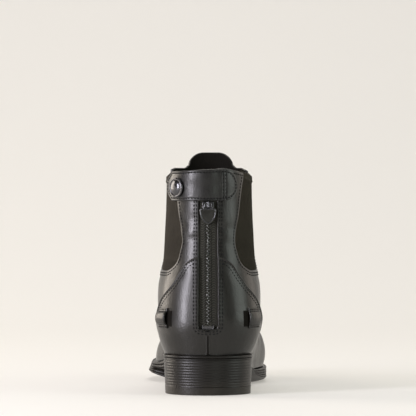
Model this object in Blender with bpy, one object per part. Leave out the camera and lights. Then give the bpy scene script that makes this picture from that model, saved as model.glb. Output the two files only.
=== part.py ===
"""Paddock boot for the right foot, standing empty on its sole.

A black leather ankle boot of the jodhpur cut: elastic gores in both sides, a zip up the back under a
snapped tab, an outside counter with a spur keeper loop on each side, and a flat sole with a stacked heel.

Frame: toe to +Y, the outer (lateral) side of the right foot to +X, up to +Z. The origin is the middle of
the heel's flat bottom. "Along" is the distance forward from the heel's rearmost point.
"""
import math

import bmesh
import bpy
import numpy as np
from mathutils import Matrix, Vector

# Sole sizes
SOLE_LENGTH = 0.276
BALL_WIDTH = 0.095
HEEL_WIDTH = 0.0664
HEEL_LENGTH = 0.060
HEEL_HEIGHT = 0.026
SEAT_THICKNESS = 0.0034
TREAD_THICKNESS = 0.0143
TOE_SPRING = 0.008
HEEL_ROUNDING = 0.030
TOE_ROUNDING = 0.050
SOLE_FLARE = 0.0027
SIDE_STEP = 0.0006
TREAD_CAMBER = 0.0076
TOP_LIFT_THICKNESS = 0.006
HEEL_RIB_PITCH = 0.0020
HEEL_RIB_DEPTH = 0.00035
HEEL_TAPER = 0.0012
INSOLE_THICKNESS = 0.003
INSOLE_BEVEL = 0.0016

# Upper sizes
COLLAR_HEIGHT = 0.1687
COLLAR_WIDTH = 0.0663
COLLAR_DEPTH = 0.096
ANKLE_WIDTH = 0.0776
SHAFT_LEAN = 0.0009
INSTEP_HEIGHT = 0.084
WALL = 0.0022
FEATHER_INSET = 0.0023
SIDE_BULGE = 0.0021
CUP_RISE = 0.029
CREST_SHIFT = 0.001
PEAK_RISE = 0.0126
PEAK_WIDTH = 0.0358
PEAK_CORNER = 0.0120
PEAK_OFFSET = 0.0021

# Overlays and fittings
COUNTER_THICKNESS = 0.0011
COUNTER_HEIGHT = 0.104
COUNTER_REACH = 0.098
GORE_HEIGHT = 0.0715
GORE_TOP = 0.1634
GORE_THICKNESS = 0.0014
GORE_RECESS = 0.0008
GORE_CORNER = 0.008
GORE_HEM = 0.0038
HEM_THICKNESS = 0.0005
ZIP_OPENING = 0.013
ZIP_BOTTOM = 0.0486
ZIP_CORNER = 0.003
ZIP_TAPE_THICKNESS = 0.0007
ZIP_CHAIN_WIDTH = 0.0042
ZIP_CHAIN_THICKNESS = 0.0011
STOP_WIDTH = 0.0078
STOP_HEIGHT = 0.0034
SLIDER_WIDTH = 0.0086
SLIDER_LENGTH = 0.0100
SLIDER_THICKNESS = 0.0010
BRIDGE_WIDTH = 0.0022
BRIDGE_THICKNESS = 0.0007
PULL_THICKNESS = 0.0012
PULL_EYE_WIDTH = 0.0064
PULL_EYE_LENGTH = 0.0042
PULL_RIM = 0.0010
PULL_RECESS = 0.0003
SHIELD_WIDTH = 0.0126
SHIELD_LENGTH = 0.0122
TAB_BOTTOM = 0.1444
TAB_WIDTH = 0.0222
TAB_THICKNESS = 0.0019
TAB_REACH_MEDIAL = 0.0385
TAB_REACH_LATERAL = 0.0222
SNAP_DIAMETER = 0.0148
SNAP_HEIGHT = 0.0036
SNAP_REACH = 0.0245
LOOP_BOTTOM = 0.0495
LOOP_HEIGHT = 0.0148
LOOP_LENGTH = 0.0108
LOOP_START = 0.0128
LOOP_THICKNESS = 0.0014
LOOP_TUNNEL = 0.0021
LOOP_STITCHED = 0.0034

GAP = 0.0003
AROUND = 58
LEVELS = np.array([0.0, 0.02, 0.045, 0.08, 0.12, 0.165, 0.215, 0.27, 0.33, 0.395, 0.46, 0.53, 0.60,
                   0.68, 0.76, 0.84, 0.92, 1.0])
SIDES = (("medial", -1.0), ("lateral", 1.0))


def table(columns, rows):
    """Each named column of a table of rows, as one array."""
    values = np.array(rows, dtype=float)
    return {name: values[:, index] for index, name in enumerate(columns)}


# Plan of the sole's top edge: half widths as shares of the local width
PLAN = table(
    ("station", "medial", "lateral"),
    [
        (0.000, 0.500, 0.500),
        (0.130, 0.500, 0.500),
        (0.217, 0.485, 0.500),
        (0.308, 0.400, 0.466),
        (0.399, 0.303, 0.425),
        (0.471, 0.280, 0.426),
        (0.543, 0.330, 0.456),
        (0.616, 0.412, 0.489),
        (0.670, 0.463, 0.495),
        (0.725, 0.479, 0.489),
        (0.797, 0.474, 0.458),
        (0.870, 0.455, 0.389),
        (0.942, 0.430, 0.305),
        (1.000, 0.405, 0.232),
    ],
)

# Side view of the sole: descent from heel to ball, then the share of the toe spring
SOLE_TOP = table(
    ("station", "descent", "spring"),
    [
        (0.000, 0.00, 0.00),
        (0.217, 0.02, 0.00),
        (0.326, 0.27, 0.00),
        (0.435, 0.62, 0.00),
        (0.543, 0.89, 0.00),
        (0.634, 0.985, 0.00),
        (0.725, 1.00, 0.00),
        (0.833, 1.00, 0.10),
        (1.000, 1.00, 0.30),
    ],
)
SOLE_BOTTOM = table(
    ("station", "descent", "spring"),
    [
        (0.000, 0.00, 0.00),
        (0.225, 0.00, 0.00),
        (0.326, 0.21, 0.00),
        (0.435, 0.56, 0.00),
        (0.525, 0.83, 0.00),
        (0.600, 1.00, 0.00),
        (0.730, 1.00, 0.00),
        (0.815, 1.00, 0.16),
        (0.906, 1.00, 0.53),
        (1.000, 1.00, 1.00),
    ],
)

# Side of the sole from its top edge down: share of the side's height, share of the side step cut in
SOLE_SIDE = table(
    ("down", "cut"),
    [
        (0.00, 1.0),
        (0.09, 0.0),
        (0.40, 0.0),
        (0.46, 1.0),
        (0.52, 0.1),
        (0.70, 0.1),
        (0.74, 0.8),
        (0.78, 0.1),
        (0.95, 0.1),
        (1.00, 1.0),
    ],
)

# Camber across the tread: share of the ball width from the middle, share of the camber
CAMBER = table(
    ("across", "rise"),
    [
        (-0.505, 1.00),
        (-0.380, 0.45),
        (-0.260, 0.10),
        (-0.160, 0.00),
        (0.360, 0.00),
        (0.430, 0.15),
        (0.495, 0.45),
    ],
)

# Back line of the upper: share of the collar height, share of the collar depth forward
BACK_LINE = table(
    ("up", "forward"),
    [
        (0.178, 0.045),
        (0.326, 0.015),
        (0.430, 0.024),
        (0.535, 0.046),
        (0.714, 0.083),
        (0.890, 0.083),
        (1.000, 0.068),
        (1.110, 0.060),
    ],
)

# Crest of the upper from the toe up the vamp and the shaft's front: shares of the sole's length, of the
# collar's depth, of the instep's height, and of the rise from instep to collar
CREST_LINE = table(
    ("foot", "depth", "instep", "shaft"),
    [
        (0.9855, 0.000, 0.178, 0.000),
        (0.9800, 0.000, 0.262, 0.000),
        (0.9580, 0.000, 0.393, 0.000),
        (0.9130, 0.000, 0.500, 0.000),
        (0.8510, 0.000, 0.575, 0.000),
        (0.7610, 0.000, 0.650, 0.000),
        (0.6700, 0.000, 0.745, 0.000),
        (0.5800, 0.000, 0.872, 0.000),
        (0.5070, 0.000, 1.000, 0.000),
        (0.4500, 0.000, 1.000, 0.155),
        (0.2050, 0.589, 1.000, 0.333),
        (0.0000, 1.115, 1.000, 0.548),
        (0.0000, 1.083, 1.000, 0.786),
        (0.0000, 1.073, 1.000, 1.024),
        (0.0000, 1.073, 1.000, 1.220),
    ],
)

# Rounding of the upper behind its crest: station, shares of the collar depth on either side
CREST_ROUNDING = table(
    ("station", "medial", "lateral"),
    [
        (0.00, 0.50, 0.50),
        (0.55, 0.56, 0.50),
        (0.72, 0.60, 0.48),
        (1.00, 0.47, 0.47),
    ],
)

# Rounding of the upper in front of its back line: share of the collar height, share of the collar depth
BACK_ROUNDING = table(("up", "reach"), [(0.17, 0.33), (0.36, 0.40), (0.54, 0.48), (1.0, 0.50)])

# Half width of the shaft: share of the collar height, share of the local width
SHAFT_WIDTHS = table(
    ("up", "half"),
    [
        (0.350, 0.496),
        (0.430, 0.500),
        (0.480, 0.496),
        (0.536, 0.480),
        (0.590, 0.476),
        (0.645, 0.481),
        (0.755, 0.496),
        (0.860, 0.503),
        (0.970, 0.500),
        (1.100, 0.496),
    ],
)

# Seam along the top of the counter: share of its forward reach, share of its height
COUNTER_SEAM = table(
    ("forward", "up"),
    [
        (0.054, 1.000),
        (0.066, 0.993),
        (0.082, 0.971),
        (0.107, 0.923),
        (0.122, 0.863),
        (0.148, 0.784),
        (0.189, 0.731),
        (0.240, 0.678),
        (0.306, 0.601),
        (0.460, 0.481),
        (0.660, 0.375),
        (0.870, 0.298),
        (1.000, 0.250),
    ],
)

# Edges of the gore: share of its height, places as shares of the collar depth
GORE_EDGES = table(
    ("up", "rear", "front"),
    [
        (0.00, 0.200, 0.765),
        (0.15, 0.163, 0.785),
        (0.30, 0.160, 0.792),
        (0.60, 0.195, 0.798),
        (1.00, 0.245, 0.800),
    ],
)

# Shield of the zip pull: share of its length, share of its half width
SHIELD = table(
    ("down", "half"),
    [
        (0.00, 0.92),
        (0.12, 1.00),
        (0.30, 0.96),
        (0.50, 0.90),
        (0.70, 0.72),
        (0.86, 0.42),
        (0.96, 0.16),
    ],
)


def smooth_slopes(at, values):
    """Slopes that keep a cubic curve through the values free of overshoot."""
    step = np.diff(at)
    secant = np.diff(values) / step
    slope = np.zeros_like(values)
    slope[0] = secant[0]
    slope[-1] = secant[-1]
    same = secant[:-1] * secant[1:] > 0
    before = 2 * step[1:] + step[:-1]
    after = step[1:] + 2 * step[:-1]
    left = np.where(same, secant[:-1], 1.0)
    right = np.where(same, secant[1:], 1.0)
    slope[1:-1] = np.where(same, (before + after) / (before / left + after / right), 0.0)
    return slope


def smooth(at, values, wanted):
    """Cubic curve through the values, flat beyond its ends."""
    wanted = np.clip(np.asarray(wanted, dtype=float), at[0], at[-1])
    slope = smooth_slopes(at, values)
    index = np.clip(np.searchsorted(at, wanted) - 1, 0, len(at) - 2)
    width = at[index + 1] - at[index]
    part = (wanted - at[index]) / width
    low, high = values[index], values[index + 1]
    start, end = slope[index] * width, slope[index + 1] * width
    return (
        low * (1 + 2 * part) * (1 - part) ** 2
        + start * part * (1 - part) ** 2
        + high * part**2 * (3 - 2 * part)
        - end * part**2 * (1 - part)
    )


def ramp(value, start, end):
    """Soft step from 0 at start to 1 at end."""
    part = np.clip((np.asarray(value, dtype=float) - start) / (end - start), 0.0, 1.0)
    return part * part * (3 - 2 * part)


def rounding(distance, reach, power=2.1):
    """Share of the full width at a distance inside a rounded end of the given reach."""
    share = np.clip(distance / reach, 0.0, 1.0)
    return (1 - (1 - share) ** power) ** (1 / power)


def local_width(along):
    """Width that the plan's shares refer to: the heel's behind, the ball's in front."""
    return HEEL_WIDTH + (BALL_WIDTH - HEEL_WIDTH) * ramp(along / SOLE_LENGTH, 0.22, 0.62)


def plan_edge(along, side):
    """Distance from the middle line to the sole's top edge, before its ends are rounded."""
    column = PLAN["medial"] if side < 0 else PLAN["lateral"]
    return smooth(PLAN["station"], column, along / SOLE_LENGTH) * local_width(along)


def sole_outline(along, side):
    """Place across of the sole's top edge, with round heel and toe."""
    medial, lateral = plan_edge(along, -1.0), plan_edge(along, 1.0)
    middle, half = (lateral - medial) / 2, (lateral + medial) / 2
    ends = rounding(along, HEEL_ROUNDING, 2.0) * rounding(SOLE_LENGTH - along, TOE_ROUNDING, 2.0)
    return middle + side * half * ends


def seat_height():
    """Height of the sole's top at the heel."""
    return HEEL_HEIGHT + SEAT_THICKNESS


def sole_top(along):
    """Height of the sole's top face."""
    station = along / SOLE_LENGTH
    descent = smooth(SOLE_TOP["station"], SOLE_TOP["descent"], station)
    spring = smooth(SOLE_TOP["station"], SOLE_TOP["spring"], station)
    return seat_height() + (TREAD_THICKNESS - seat_height()) * descent + TOE_SPRING * spring


def sole_bottom(along, across):
    """Height of the sole's underside, with its camber under the forefoot."""
    station = along / SOLE_LENGTH
    descent = smooth(SOLE_BOTTOM["station"], SOLE_BOTTOM["descent"], station)
    spring = smooth(SOLE_BOTTOM["station"], SOLE_BOTTOM["spring"], station)
    camber = smooth(CAMBER["across"], CAMBER["rise"], across / BALL_WIDTH) * TREAD_CAMBER
    fade = ramp(station, 0.42, 0.60) * (1 - 0.75 * ramp(station, 0.80, 1.0))
    return HEEL_HEIGHT * (1 - descent) + TOE_SPRING * spring + camber * fade


def back_line(height):
    """Distance forward of the upper's back line at a height."""
    return smooth(BACK_LINE["up"], BACK_LINE["forward"], height / COLLAR_HEIGHT) * COLLAR_DEPTH


def crest_points(count):
    """Points along the crest at even steps, from the toe's foot to the top of the shaft's front."""
    along = CREST_LINE["foot"] * SOLE_LENGTH + CREST_LINE["depth"] * COLLAR_DEPTH
    rise = COLLAR_HEIGHT - INSTEP_HEIGHT
    height = CREST_LINE["instep"] * INSTEP_HEIGHT + CREST_LINE["shaft"] * rise
    height[0] = sole_top(along[0]) + GAP
    reach = np.concatenate([[0.0], np.cumsum(np.hypot(np.diff(along), np.diff(height)))])
    even = np.linspace(0.0, reach[-1], count)
    return smooth(reach, along, even), smooth(reach, height, even)


CREST_ALONG, CREST_HEIGHT = crest_points(160)


def distance_to_line(along, height, line_along, line_height):
    """Distance in side view from points to a line of many short pieces."""
    start = np.stack([line_along[:-1], line_height[:-1]], axis=-1)
    run = np.stack([np.diff(line_along), np.diff(line_height)], axis=-1)
    away = np.stack([along, height], axis=-1)[..., None, :] - start
    share = np.clip((away * run).sum(-1) / (run * run).sum(-1), 0.0, 1.0)
    return np.linalg.norm(away - share[..., None] * run, axis=-1).min(axis=-1)


def crest_distance(along, height):
    """Distance behind the crest, which runs on straight down at the toe and up at the collar."""
    below, above = -SOLE_LENGTH, 2 * COLLAR_HEIGHT
    line_along = np.concatenate([[CREST_ALONG[0]], CREST_ALONG, [CREST_ALONG[-1]]])
    line_height = np.concatenate([[below], CREST_HEIGHT, [above]])
    return distance_to_line(along, height, line_along, line_height)


def back_distance(along, height):
    """Distance in front of the back line."""
    line_height = np.linspace(0.0, 1.3 * COLLAR_HEIGHT, 60)
    return distance_to_line(along, height, back_line(line_height), line_height)


def shaft_side(height, side):
    """Distance from the middle line to the shaft's side at a height, from ankle to collar."""
    up = height / COLLAR_HEIGHT
    width = ANKLE_WIDTH + (COLLAR_WIDTH - ANKLE_WIDTH) * ramp(up, 0.45, 0.89)
    return smooth(SHAFT_WIDTHS["up"], SHAFT_WIDTHS["half"], up) * width + side * SHAFT_LEAN


def upper_side(along, height, side):
    """Distance from the middle line to the upper's side, before crest and back are rounded."""
    above = np.clip(height - sole_top(along), 0.0, None)
    foot = plan_edge(along, side) - FEATHER_INSET
    bulge = SIDE_BULGE * np.sin(np.pi * np.clip(above / CUP_RISE, 0.0, 1.0)) ** 0.7
    rise = 1 - (1 - np.clip(above / CUP_RISE, 0.0, 1.0)) ** 2
    station = along / SOLE_LENGTH
    forefoot = ramp(station, 0.40, 0.62)
    ankle = shaft_side(height, side) * (1 - forefoot) + foot * forefoot
    return foot + (ankle - foot) * rise + bulge * forefoot


def upper_across(along, height, side):
    """Place across of the upper's outer face in side view coordinates."""
    medial = upper_side(along, height, -1.0)
    lateral = upper_side(along, height, 1.0)
    edge = lateral if side > 0 else -medial
    station = along / SOLE_LENGTH
    column = CREST_ROUNDING["lateral" if side > 0 else "medial"]
    crest_reach = smooth(CREST_ROUNDING["station"], column, station) * COLLAR_DEPTH
    back_reach = smooth(BACK_ROUNDING["up"], BACK_ROUNDING["reach"], height / COLLAR_HEIGHT) * COLLAR_DEPTH
    ends = rounding(crest_distance(along, height), crest_reach)
    ends = ends * rounding(back_distance(along, height), back_reach)
    instep = ramp(station, 0.42, 0.55) * (1 - ramp(station, 0.75, 0.92))
    ridge = (lateral - medial) / 2 * ramp(station, 0.42, 0.60) - CREST_SHIFT * instep
    return ridge + (edge - ridge) * ends


def place(across, along, height):
    """Points of the boot's frame from places across, along and up."""
    across, along, height = np.broadcast_arrays(across, along, height)
    return np.stack([across, along - HEEL_LENGTH / 2, height], axis=-1)


def last_form(turn, level):
    """Point of the upper's outer face.

    Level runs from the feather line (0) to above the collar (1). Turn runs round the boot from the back
    line (0) over the crest (pi) and back (2 pi), the medial side first. Each level is a slice from a point
    of the back line to a point of the crest, bent at the bottom to follow the sole's top.
    """
    share = (1 - np.cos(turn)) / 2
    side = np.where(np.sin(turn) >= 0, -1.0, 1.0)
    foot_height = seat_height() + GAP
    top_height = CREST_HEIGHT[-1]
    back_height = foot_height + (top_height - foot_height) * level
    crest_at = level * (len(CREST_ALONG) - 1)
    steps = np.arange(len(CREST_ALONG))
    crest_along = np.interp(crest_at, steps, CREST_ALONG)
    crest_height = np.interp(crest_at, steps, CREST_HEIGHT)
    along = back_line(back_height) + (crest_along - back_line(back_height)) * share
    straight = foot_height + (CREST_HEIGHT[0] - foot_height) * share
    settle = np.clip(1 - level / 0.35, 0.0, 1.0) ** 2
    height = back_height + (crest_height - back_height) * share
    height = height + (sole_top(along) + GAP - straight) * settle
    medial = upper_across(along, height, -1.0)
    lateral = upper_across(along, height, 1.0)
    return place(np.where(side < 0, medial, lateral), along, height)


def shaft_form(turn, height):
    """Point of the outer face at a height, turned from the back line to either side of the heel or shaft."""
    along = back_line(height) + COLLAR_DEPTH * (1 - np.cos(turn)) / 2
    medial = upper_across(along, height, -1.0)
    lateral = upper_across(along, height, 1.0)
    return place(np.where(turn < 0, medial, lateral), along, height)


def back_form(across, height):
    """Point of the outer face at a place across and a height, on the shaft's back."""
    side = np.where(across < 0, -1.0, 1.0)
    low = back_line(height) + 0 * across
    high = low + COLLAR_DEPTH / 2
    for _ in range(36):
        middle = (low + high) / 2
        medial = upper_across(middle, height, -1.0)
        lateral = upper_across(middle, height, 1.0)
        inside = np.abs(np.where(side < 0, medial, lateral)) < np.abs(across)
        low = np.where(inside, middle, low)
        high = np.where(inside, high, middle)
    return place(across, (low + high) / 2, height)


def outward(form, first, second):
    """Unit normals of a form, away from the boot's inside."""
    step = 1e-4
    one = form(first + step, second) - form(first - step, second)
    two = form(first, second + step) - form(first, second - step)
    normal = np.cross(one, two)
    normal /= np.linalg.norm(normal, axis=-1, keepdims=True)
    point = form(first, second)
    middle = back_line(COLLAR_HEIGHT) + COLLAR_DEPTH / 2 - HEEL_LENGTH / 2
    away = point - np.array([0.0, middle, 0.0])
    away[..., 2] = 0.0
    return normal * np.sign((normal * away).sum(-1, keepdims=True))


def add_object(name, vertices, faces, material):
    """One mesh object from points and faces, its faces turned outwards."""
    mesh = bpy.data.meshes.new(name)
    built = bmesh.new()
    points = [built.verts.new(point) for point in vertices]
    for face in faces:
        built.faces.new([points[index] for index in face])
    bmesh.ops.recalc_face_normals(built, faces=built.faces)
    built.to_mesh(mesh)
    built.free()
    mesh.shade_smooth()
    mesh.set_sharp_from_angle(angle=math.radians(35))
    mesh.materials.append(material)
    thing = bpy.data.objects.new(name, mesh)
    bpy.context.scene.collection.objects.link(thing)
    return thing


def strip_faces(first, second, closed):
    """Four-sided faces between two rows of point numbers."""
    count = len(first) if closed else len(first) - 1
    following = [(index + 1) % len(first) for index in range(count)]
    return [(first[i], first[j], second[j], second[i]) for i, j in zip(range(count), following)]


def grid_faces(first, second, closed):
    """Pairs of triangles between two rows, all split along the same diagonal so that skins stay parallel."""
    faces = []
    for a, b, c, d in strip_faces(first, second, closed):
        faces += [(a, b, c), (a, c, d)]
    return faces


def sheet_solid(name, outer, inner, material, closed=False):
    """Solid between two grids of the same rows and columns, closed round its edges."""
    rows, columns = outer.shape[:2]
    numbers = np.arange(2 * rows * columns).reshape(2, rows, columns)
    vertices = np.concatenate([outer.reshape(-1, 3), inner.reshape(-1, 3)])
    faces = []
    for grid in numbers:
        for row in range(rows - 1):
            faces += grid_faces(grid[row], grid[row + 1], closed)
    for row in (0, rows - 1):
        faces += strip_faces(numbers[0, row], numbers[1, row], closed)
    if not closed:
        for column in (0, columns - 1):
            faces += strip_faces(numbers[0, :, column], numbers[1, :, column], False)
    return add_object(name, vertices, faces, material)


def wrap(name, form, first, second, inner, outer, material):
    """Sheet that lies on a form, between two distances level outside it, so that its rows stay level."""
    point = form(first, second)
    normal = outward(form, first, second)
    normal[..., 2] = 0.0
    normal /= np.linalg.norm(normal, axis=-1, keepdims=True)
    inner = point + normal * np.broadcast_to(inner, first.shape)[..., None]
    outer = point + normal * np.broadcast_to(outer, first.shape)[..., None]
    return sheet_solid(name, outer, inner, material)


def carry(name, outline, start, end, axis, material):
    """Solid of an outline of two coordinates carried straight along X or Y."""
    count = len(outline)
    vertices = []
    for depth in (start, end):
        for one, up in outline:
            vertices.append((depth, one, up) if axis == "X" else (one, depth, up))
    faces = [tuple(range(count)), tuple(range(count, 2 * count))]
    faces += strip_faces(list(range(count)), list(range(count, 2 * count)), True)
    return add_object(name, vertices, faces, material)


def prism(name, outline, start, end, axis):
    """Cutting form: an outline carried straight along X or Y."""
    cutter = carry(name, outline, start, end, axis, plain_material("cutting_form", (0.5, 0.5, 0.5), 0.5, 0.0))
    cutter.hide_render = True
    cutter.display_type = "WIRE"
    return cutter


def cut(thing, cutter):
    """Take a cutting form out of a piece."""
    modifier = thing.modifiers.new("cut_" + cutter.name, "BOOLEAN")
    modifier.operation = "DIFFERENCE"
    modifier.object = cutter
    modifier.solver = "EXACT"


def plain_material(name, colour, roughness, metallic):
    """Principled material, made once for each name."""
    found = bpy.data.materials.get(name)
    if found:
        return found
    material = bpy.data.materials.new(name)
    material.use_nodes = True
    shader = material.node_tree.nodes["Principled BSDF"]
    shader.inputs["Base Color"].default_value = (*colour, 1.0)
    shader.inputs["Roughness"].default_value = roughness
    shader.inputs["Metallic"].default_value = metallic
    material.diffuse_color = (*colour, 1.0)
    return material


def arc(centre, radius, start, end, steps):
    """Points on an arc between two angles in degrees."""
    angles = np.radians(np.linspace(start, end, steps))
    return [(centre[0] + radius * np.cos(a), centre[1] + radius * np.sin(a)) for a in angles]


def last_grid():
    """Points of the last form on the upper's grid, and their outward normals, level at the feather line."""
    turns = np.linspace(0.0, 2 * np.pi, AROUND + 1)[:-1]
    turn, level = np.meshgrid(turns, LEVELS)
    point = last_form(turn, level)
    around = np.roll(point, -1, axis=1) - np.roll(point, 1, axis=1)
    normal = np.cross(around, np.gradient(point, axis=0))
    normal[0, :, 2] = 0.0
    normal /= np.linalg.norm(normal, axis=-1, keepdims=True)
    middle = point.mean(axis=1, keepdims=True)
    return point, normal * np.sign(((point - middle) * normal).sum(-1).mean())


def make_upper(leather):
    """Hollow upper: one wall from the feather line to the collar, open at both."""
    outer, normal = last_grid()
    inner = outer - WALL * normal
    inner[0, :, 2] = outer[0, :, 2]
    inner[-1, :, 2] = outer[-1, :, 2]
    return sheet_solid("upper", outer, inner, leather, closed=True)


def gore_edge(height, column):
    """Place along the boot of the gore's rear or front edge, its lower corners rounded."""
    bottom = GORE_TOP - GORE_HEIGHT
    up = (height - bottom) / GORE_HEIGHT
    edge = smooth(GORE_EDGES["up"], GORE_EDGES[column], up) * COLLAR_DEPTH
    low = np.clip(GORE_CORNER - (height - bottom), 0.0, GORE_CORNER)
    corner = GORE_CORNER - np.sqrt(GORE_CORNER**2 - low**2)
    return edge + corner if column == "rear" else edge - corner


def gore_heights():
    """Heights of the gore's rows, close together at its rounded corners."""
    bottom = GORE_TOP - GORE_HEIGHT
    corner = bottom + GORE_CORNER * (1 - np.cos(np.radians([0.0, 30.0, 55.0, 75.0, 90.0])))
    return np.concatenate([corner, np.linspace(bottom + GORE_CORNER, GORE_TOP, 8)[1:]])


def gore_window():
    """Outline of the opening that the gores fill, seen from the side and open at the top."""
    heights = gore_heights()
    above = COLLAR_HEIGHT + 3 * PEAK_RISE
    rear = [(gore_edge(h, "rear") - HEEL_LENGTH / 2, h) for h in heights]
    front = [(gore_edge(h, "front") - HEEL_LENGTH / 2, h) for h in heights]
    top = [(front[-1][0], above), (rear[-1][0], above)]
    return rear[::-1] + front + top


def make_gore(name, side, elastic):
    """Elastic gore in its window, set back from the leather, with a hem along its top."""
    window = gore_heights()
    heights = window + np.where(window == window[0], GAP, 0.0)
    shares = np.linspace(0.0, 1.0, 10)
    height = np.repeat(heights[:, None], len(shares), axis=1)
    rear = np.interp(height, window, gore_edge(window, "rear")) + 2 * GAP
    front = np.interp(height, window, gore_edge(window, "front")) - 2 * GAP
    along = rear + (front - rear) * shares
    turn = side * np.arccos(np.clip(1 - 2 * (along - back_line(height)) / COLLAR_DEPTH, -1.0, 1.0))
    hem = HEM_THICKNESS * (height > GORE_TOP - GORE_HEM)
    inner = -GORE_RECESS - GORE_THICKNESS
    return wrap(name, shaft_form, turn, height, inner, -GORE_RECESS + hem, elastic)


def collar_front():
    """Line of the collar's front seen from behind: shoulders, and the rounded peak between them."""
    half = PEAK_WIDTH / 2
    shoulder = COLLAR_HEIGHT + 0.0008
    top = shoulder + PEAK_RISE
    outer, inner = COLLAR_WIDTH * 0.46, COLLAR_WIDTH * 0.40
    flare = PEAK_CORNER * 0.35
    left = PEAK_OFFSET - half
    right = PEAK_OFFSET + half
    line = [(-COLLAR_WIDTH, GORE_TOP), (-COLLAR_WIDTH / 2, GORE_TOP), (-outer, shoulder - 0.002)]
    line += [(-inner, shoulder)]
    line += arc((left - flare, shoulder + flare), flare, 270, 340, 4)
    line += arc((left + PEAK_CORNER, top - PEAK_CORNER), PEAK_CORNER, 180, 90, 7)
    line += arc((right - PEAK_CORNER, top - PEAK_CORNER), PEAK_CORNER, 90, 0, 7)
    line += arc((right + flare, shoulder + flare), flare, 200, 270, 4)
    line += [(inner, shoulder), (outer, shoulder - 0.002), (COLLAR_WIDTH / 2, GORE_TOP)]
    line += [(COLLAR_WIDTH, GORE_TOP)]
    return line


def collar_back():
    """Line of the collar's back seen from behind."""
    half = COLLAR_WIDTH / 2
    low = GORE_TOP + 0.0016
    return [
        (-2 * half, low),
        (-0.80 * half, low),
        (-0.50 * half, COLLAR_HEIGHT - 0.0016),
        (-0.15 * half, COLLAR_HEIGHT),
        (0.35 * half, COLLAR_HEIGHT),
        (0.60 * half, COLLAR_HEIGHT - 0.0016),
        (0.80 * half, low),
        (2 * half, low),
    ]


def trim_collar(upper):
    """Cut the upper along its collar, front and back, and its side openings."""
    above = COLLAR_HEIGHT + 4 * PEAK_RISE
    middle = back_line(COLLAR_HEIGHT) + COLLAR_DEPTH / 2 - HEEL_LENGTH / 2
    far = COLLAR_DEPTH
    for name, line, start, end in (
        ("collar_front_cut", collar_front(), middle, middle + far),
        ("collar_back_cut", collar_back(), middle - far, middle),
    ):
        outline = line + [(line[-1][0], above), (line[0][0], above)]
        cut(upper, prism(name, outline, start, end, "Y"))
    cut(upper, prism("gore_window_cut", gore_window(), -COLLAR_DEPTH, COLLAR_DEPTH, "X"))


def slot_edge():
    """Half widths and heights of the zip's slot from its bottom up, its lower corners rounded."""
    angles = np.radians([0.0, 30.0, 60.0, 90.0])
    half = ZIP_OPENING / 2 - ZIP_CORNER * (1 - np.sin(angles))
    return half, ZIP_BOTTOM + ZIP_CORNER * (1 - np.cos(angles))


def zip_cutter():
    """Slot for the zip, seen from behind and open at the top."""
    half, height = slot_edge()
    above = COLLAR_HEIGHT + PEAK_RISE
    right = list(zip(half, height)) + [(half[-1], above)]
    outline = right + [(-x, z) for x, z in right[::-1]]
    return prism("zip_slot_cut", outline, -COLLAR_DEPTH, back_line(COLLAR_HEIGHT), "Y")


def counter_seam(along):
    """Height of the counter's top seam at a distance forward."""
    share = along / COUNTER_REACH
    return smooth(COUNTER_SEAM["forward"], COUNTER_SEAM["up"], share) * COUNTER_HEIGHT


def make_counter(leather):
    """Outside counter that cups the heel: a skin over the upper's own form, under its curved top seam."""
    point, normal = last_grid()
    inner = point + GAP * normal
    outer = point + (GAP + COUNTER_THICKNESS) * normal
    for face in (inner, outer):
        face[0, :, 2] = point[0, :, 2] + GAP
    counter = sheet_solid("counter", outer, inner, leather, closed=True)
    along = COUNTER_REACH * COUNTER_SEAM["forward"]
    along = np.unique(np.concatenate([along, np.linspace(along[0], COUNTER_REACH, 24)]))
    seam = [(s - HEEL_LENGTH / 2, counter_seam(s)) for s in along]
    rear = -HEEL_LENGTH
    outline = [(rear, -HEEL_HEIGHT), (rear, seam[0][1])] + seam + [(seam[-1][0], -HEEL_HEIGHT)]
    keep = prism("counter_outline", outline, -COLLAR_DEPTH, COLLAR_DEPTH, "X")
    modifier = counter.modifiers.new("keep_under_seam", "BOOLEAN")
    modifier.operation = "INTERSECT"
    modifier.object = keep
    modifier.solver = "EXACT"
    return counter


def loop_profile(share):
    """Distance of a spur loop's inner face outside the counter: flat ends, an arch between them."""
    flat = LOOP_STITCHED / LOOP_HEIGHT
    return LOOP_TUNNEL * np.sin(np.pi * np.clip((share - flat) / (1 - 2 * flat), 0.0, 1.0)) ** 0.6


def make_spur_loop(name, side, leather):
    """Leather keeper for a spur strap, stitched down at both ends with a tunnel between them."""
    middle_height = LOOP_BOTTOM + LOOP_HEIGHT / 2
    starts = np.array([LOOP_START, LOOP_START + LOOP_LENGTH])
    turns = np.arccos(1 - 2 * (starts - back_line(middle_height)) / COLLAR_DEPTH)
    flat = LOOP_STITCHED / LOOP_HEIGHT
    arch = flat + (1 - 2 * flat) * (1 - np.cos(np.linspace(0.0, np.pi, 11))) / 2
    shares = np.concatenate([[0.0], arch, [1.0]])
    share, turn = np.meshgrid(shares, side * np.linspace(turns[0], turns[1], 5), indexing="ij")
    inner = 2 * GAP + COUNTER_THICKNESS + loop_profile(share)
    height = LOOP_BOTTOM + LOOP_HEIGHT * share
    return wrap(name, shaft_form, turn, height, inner, inner + LOOP_THICKNESS, leather)


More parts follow.
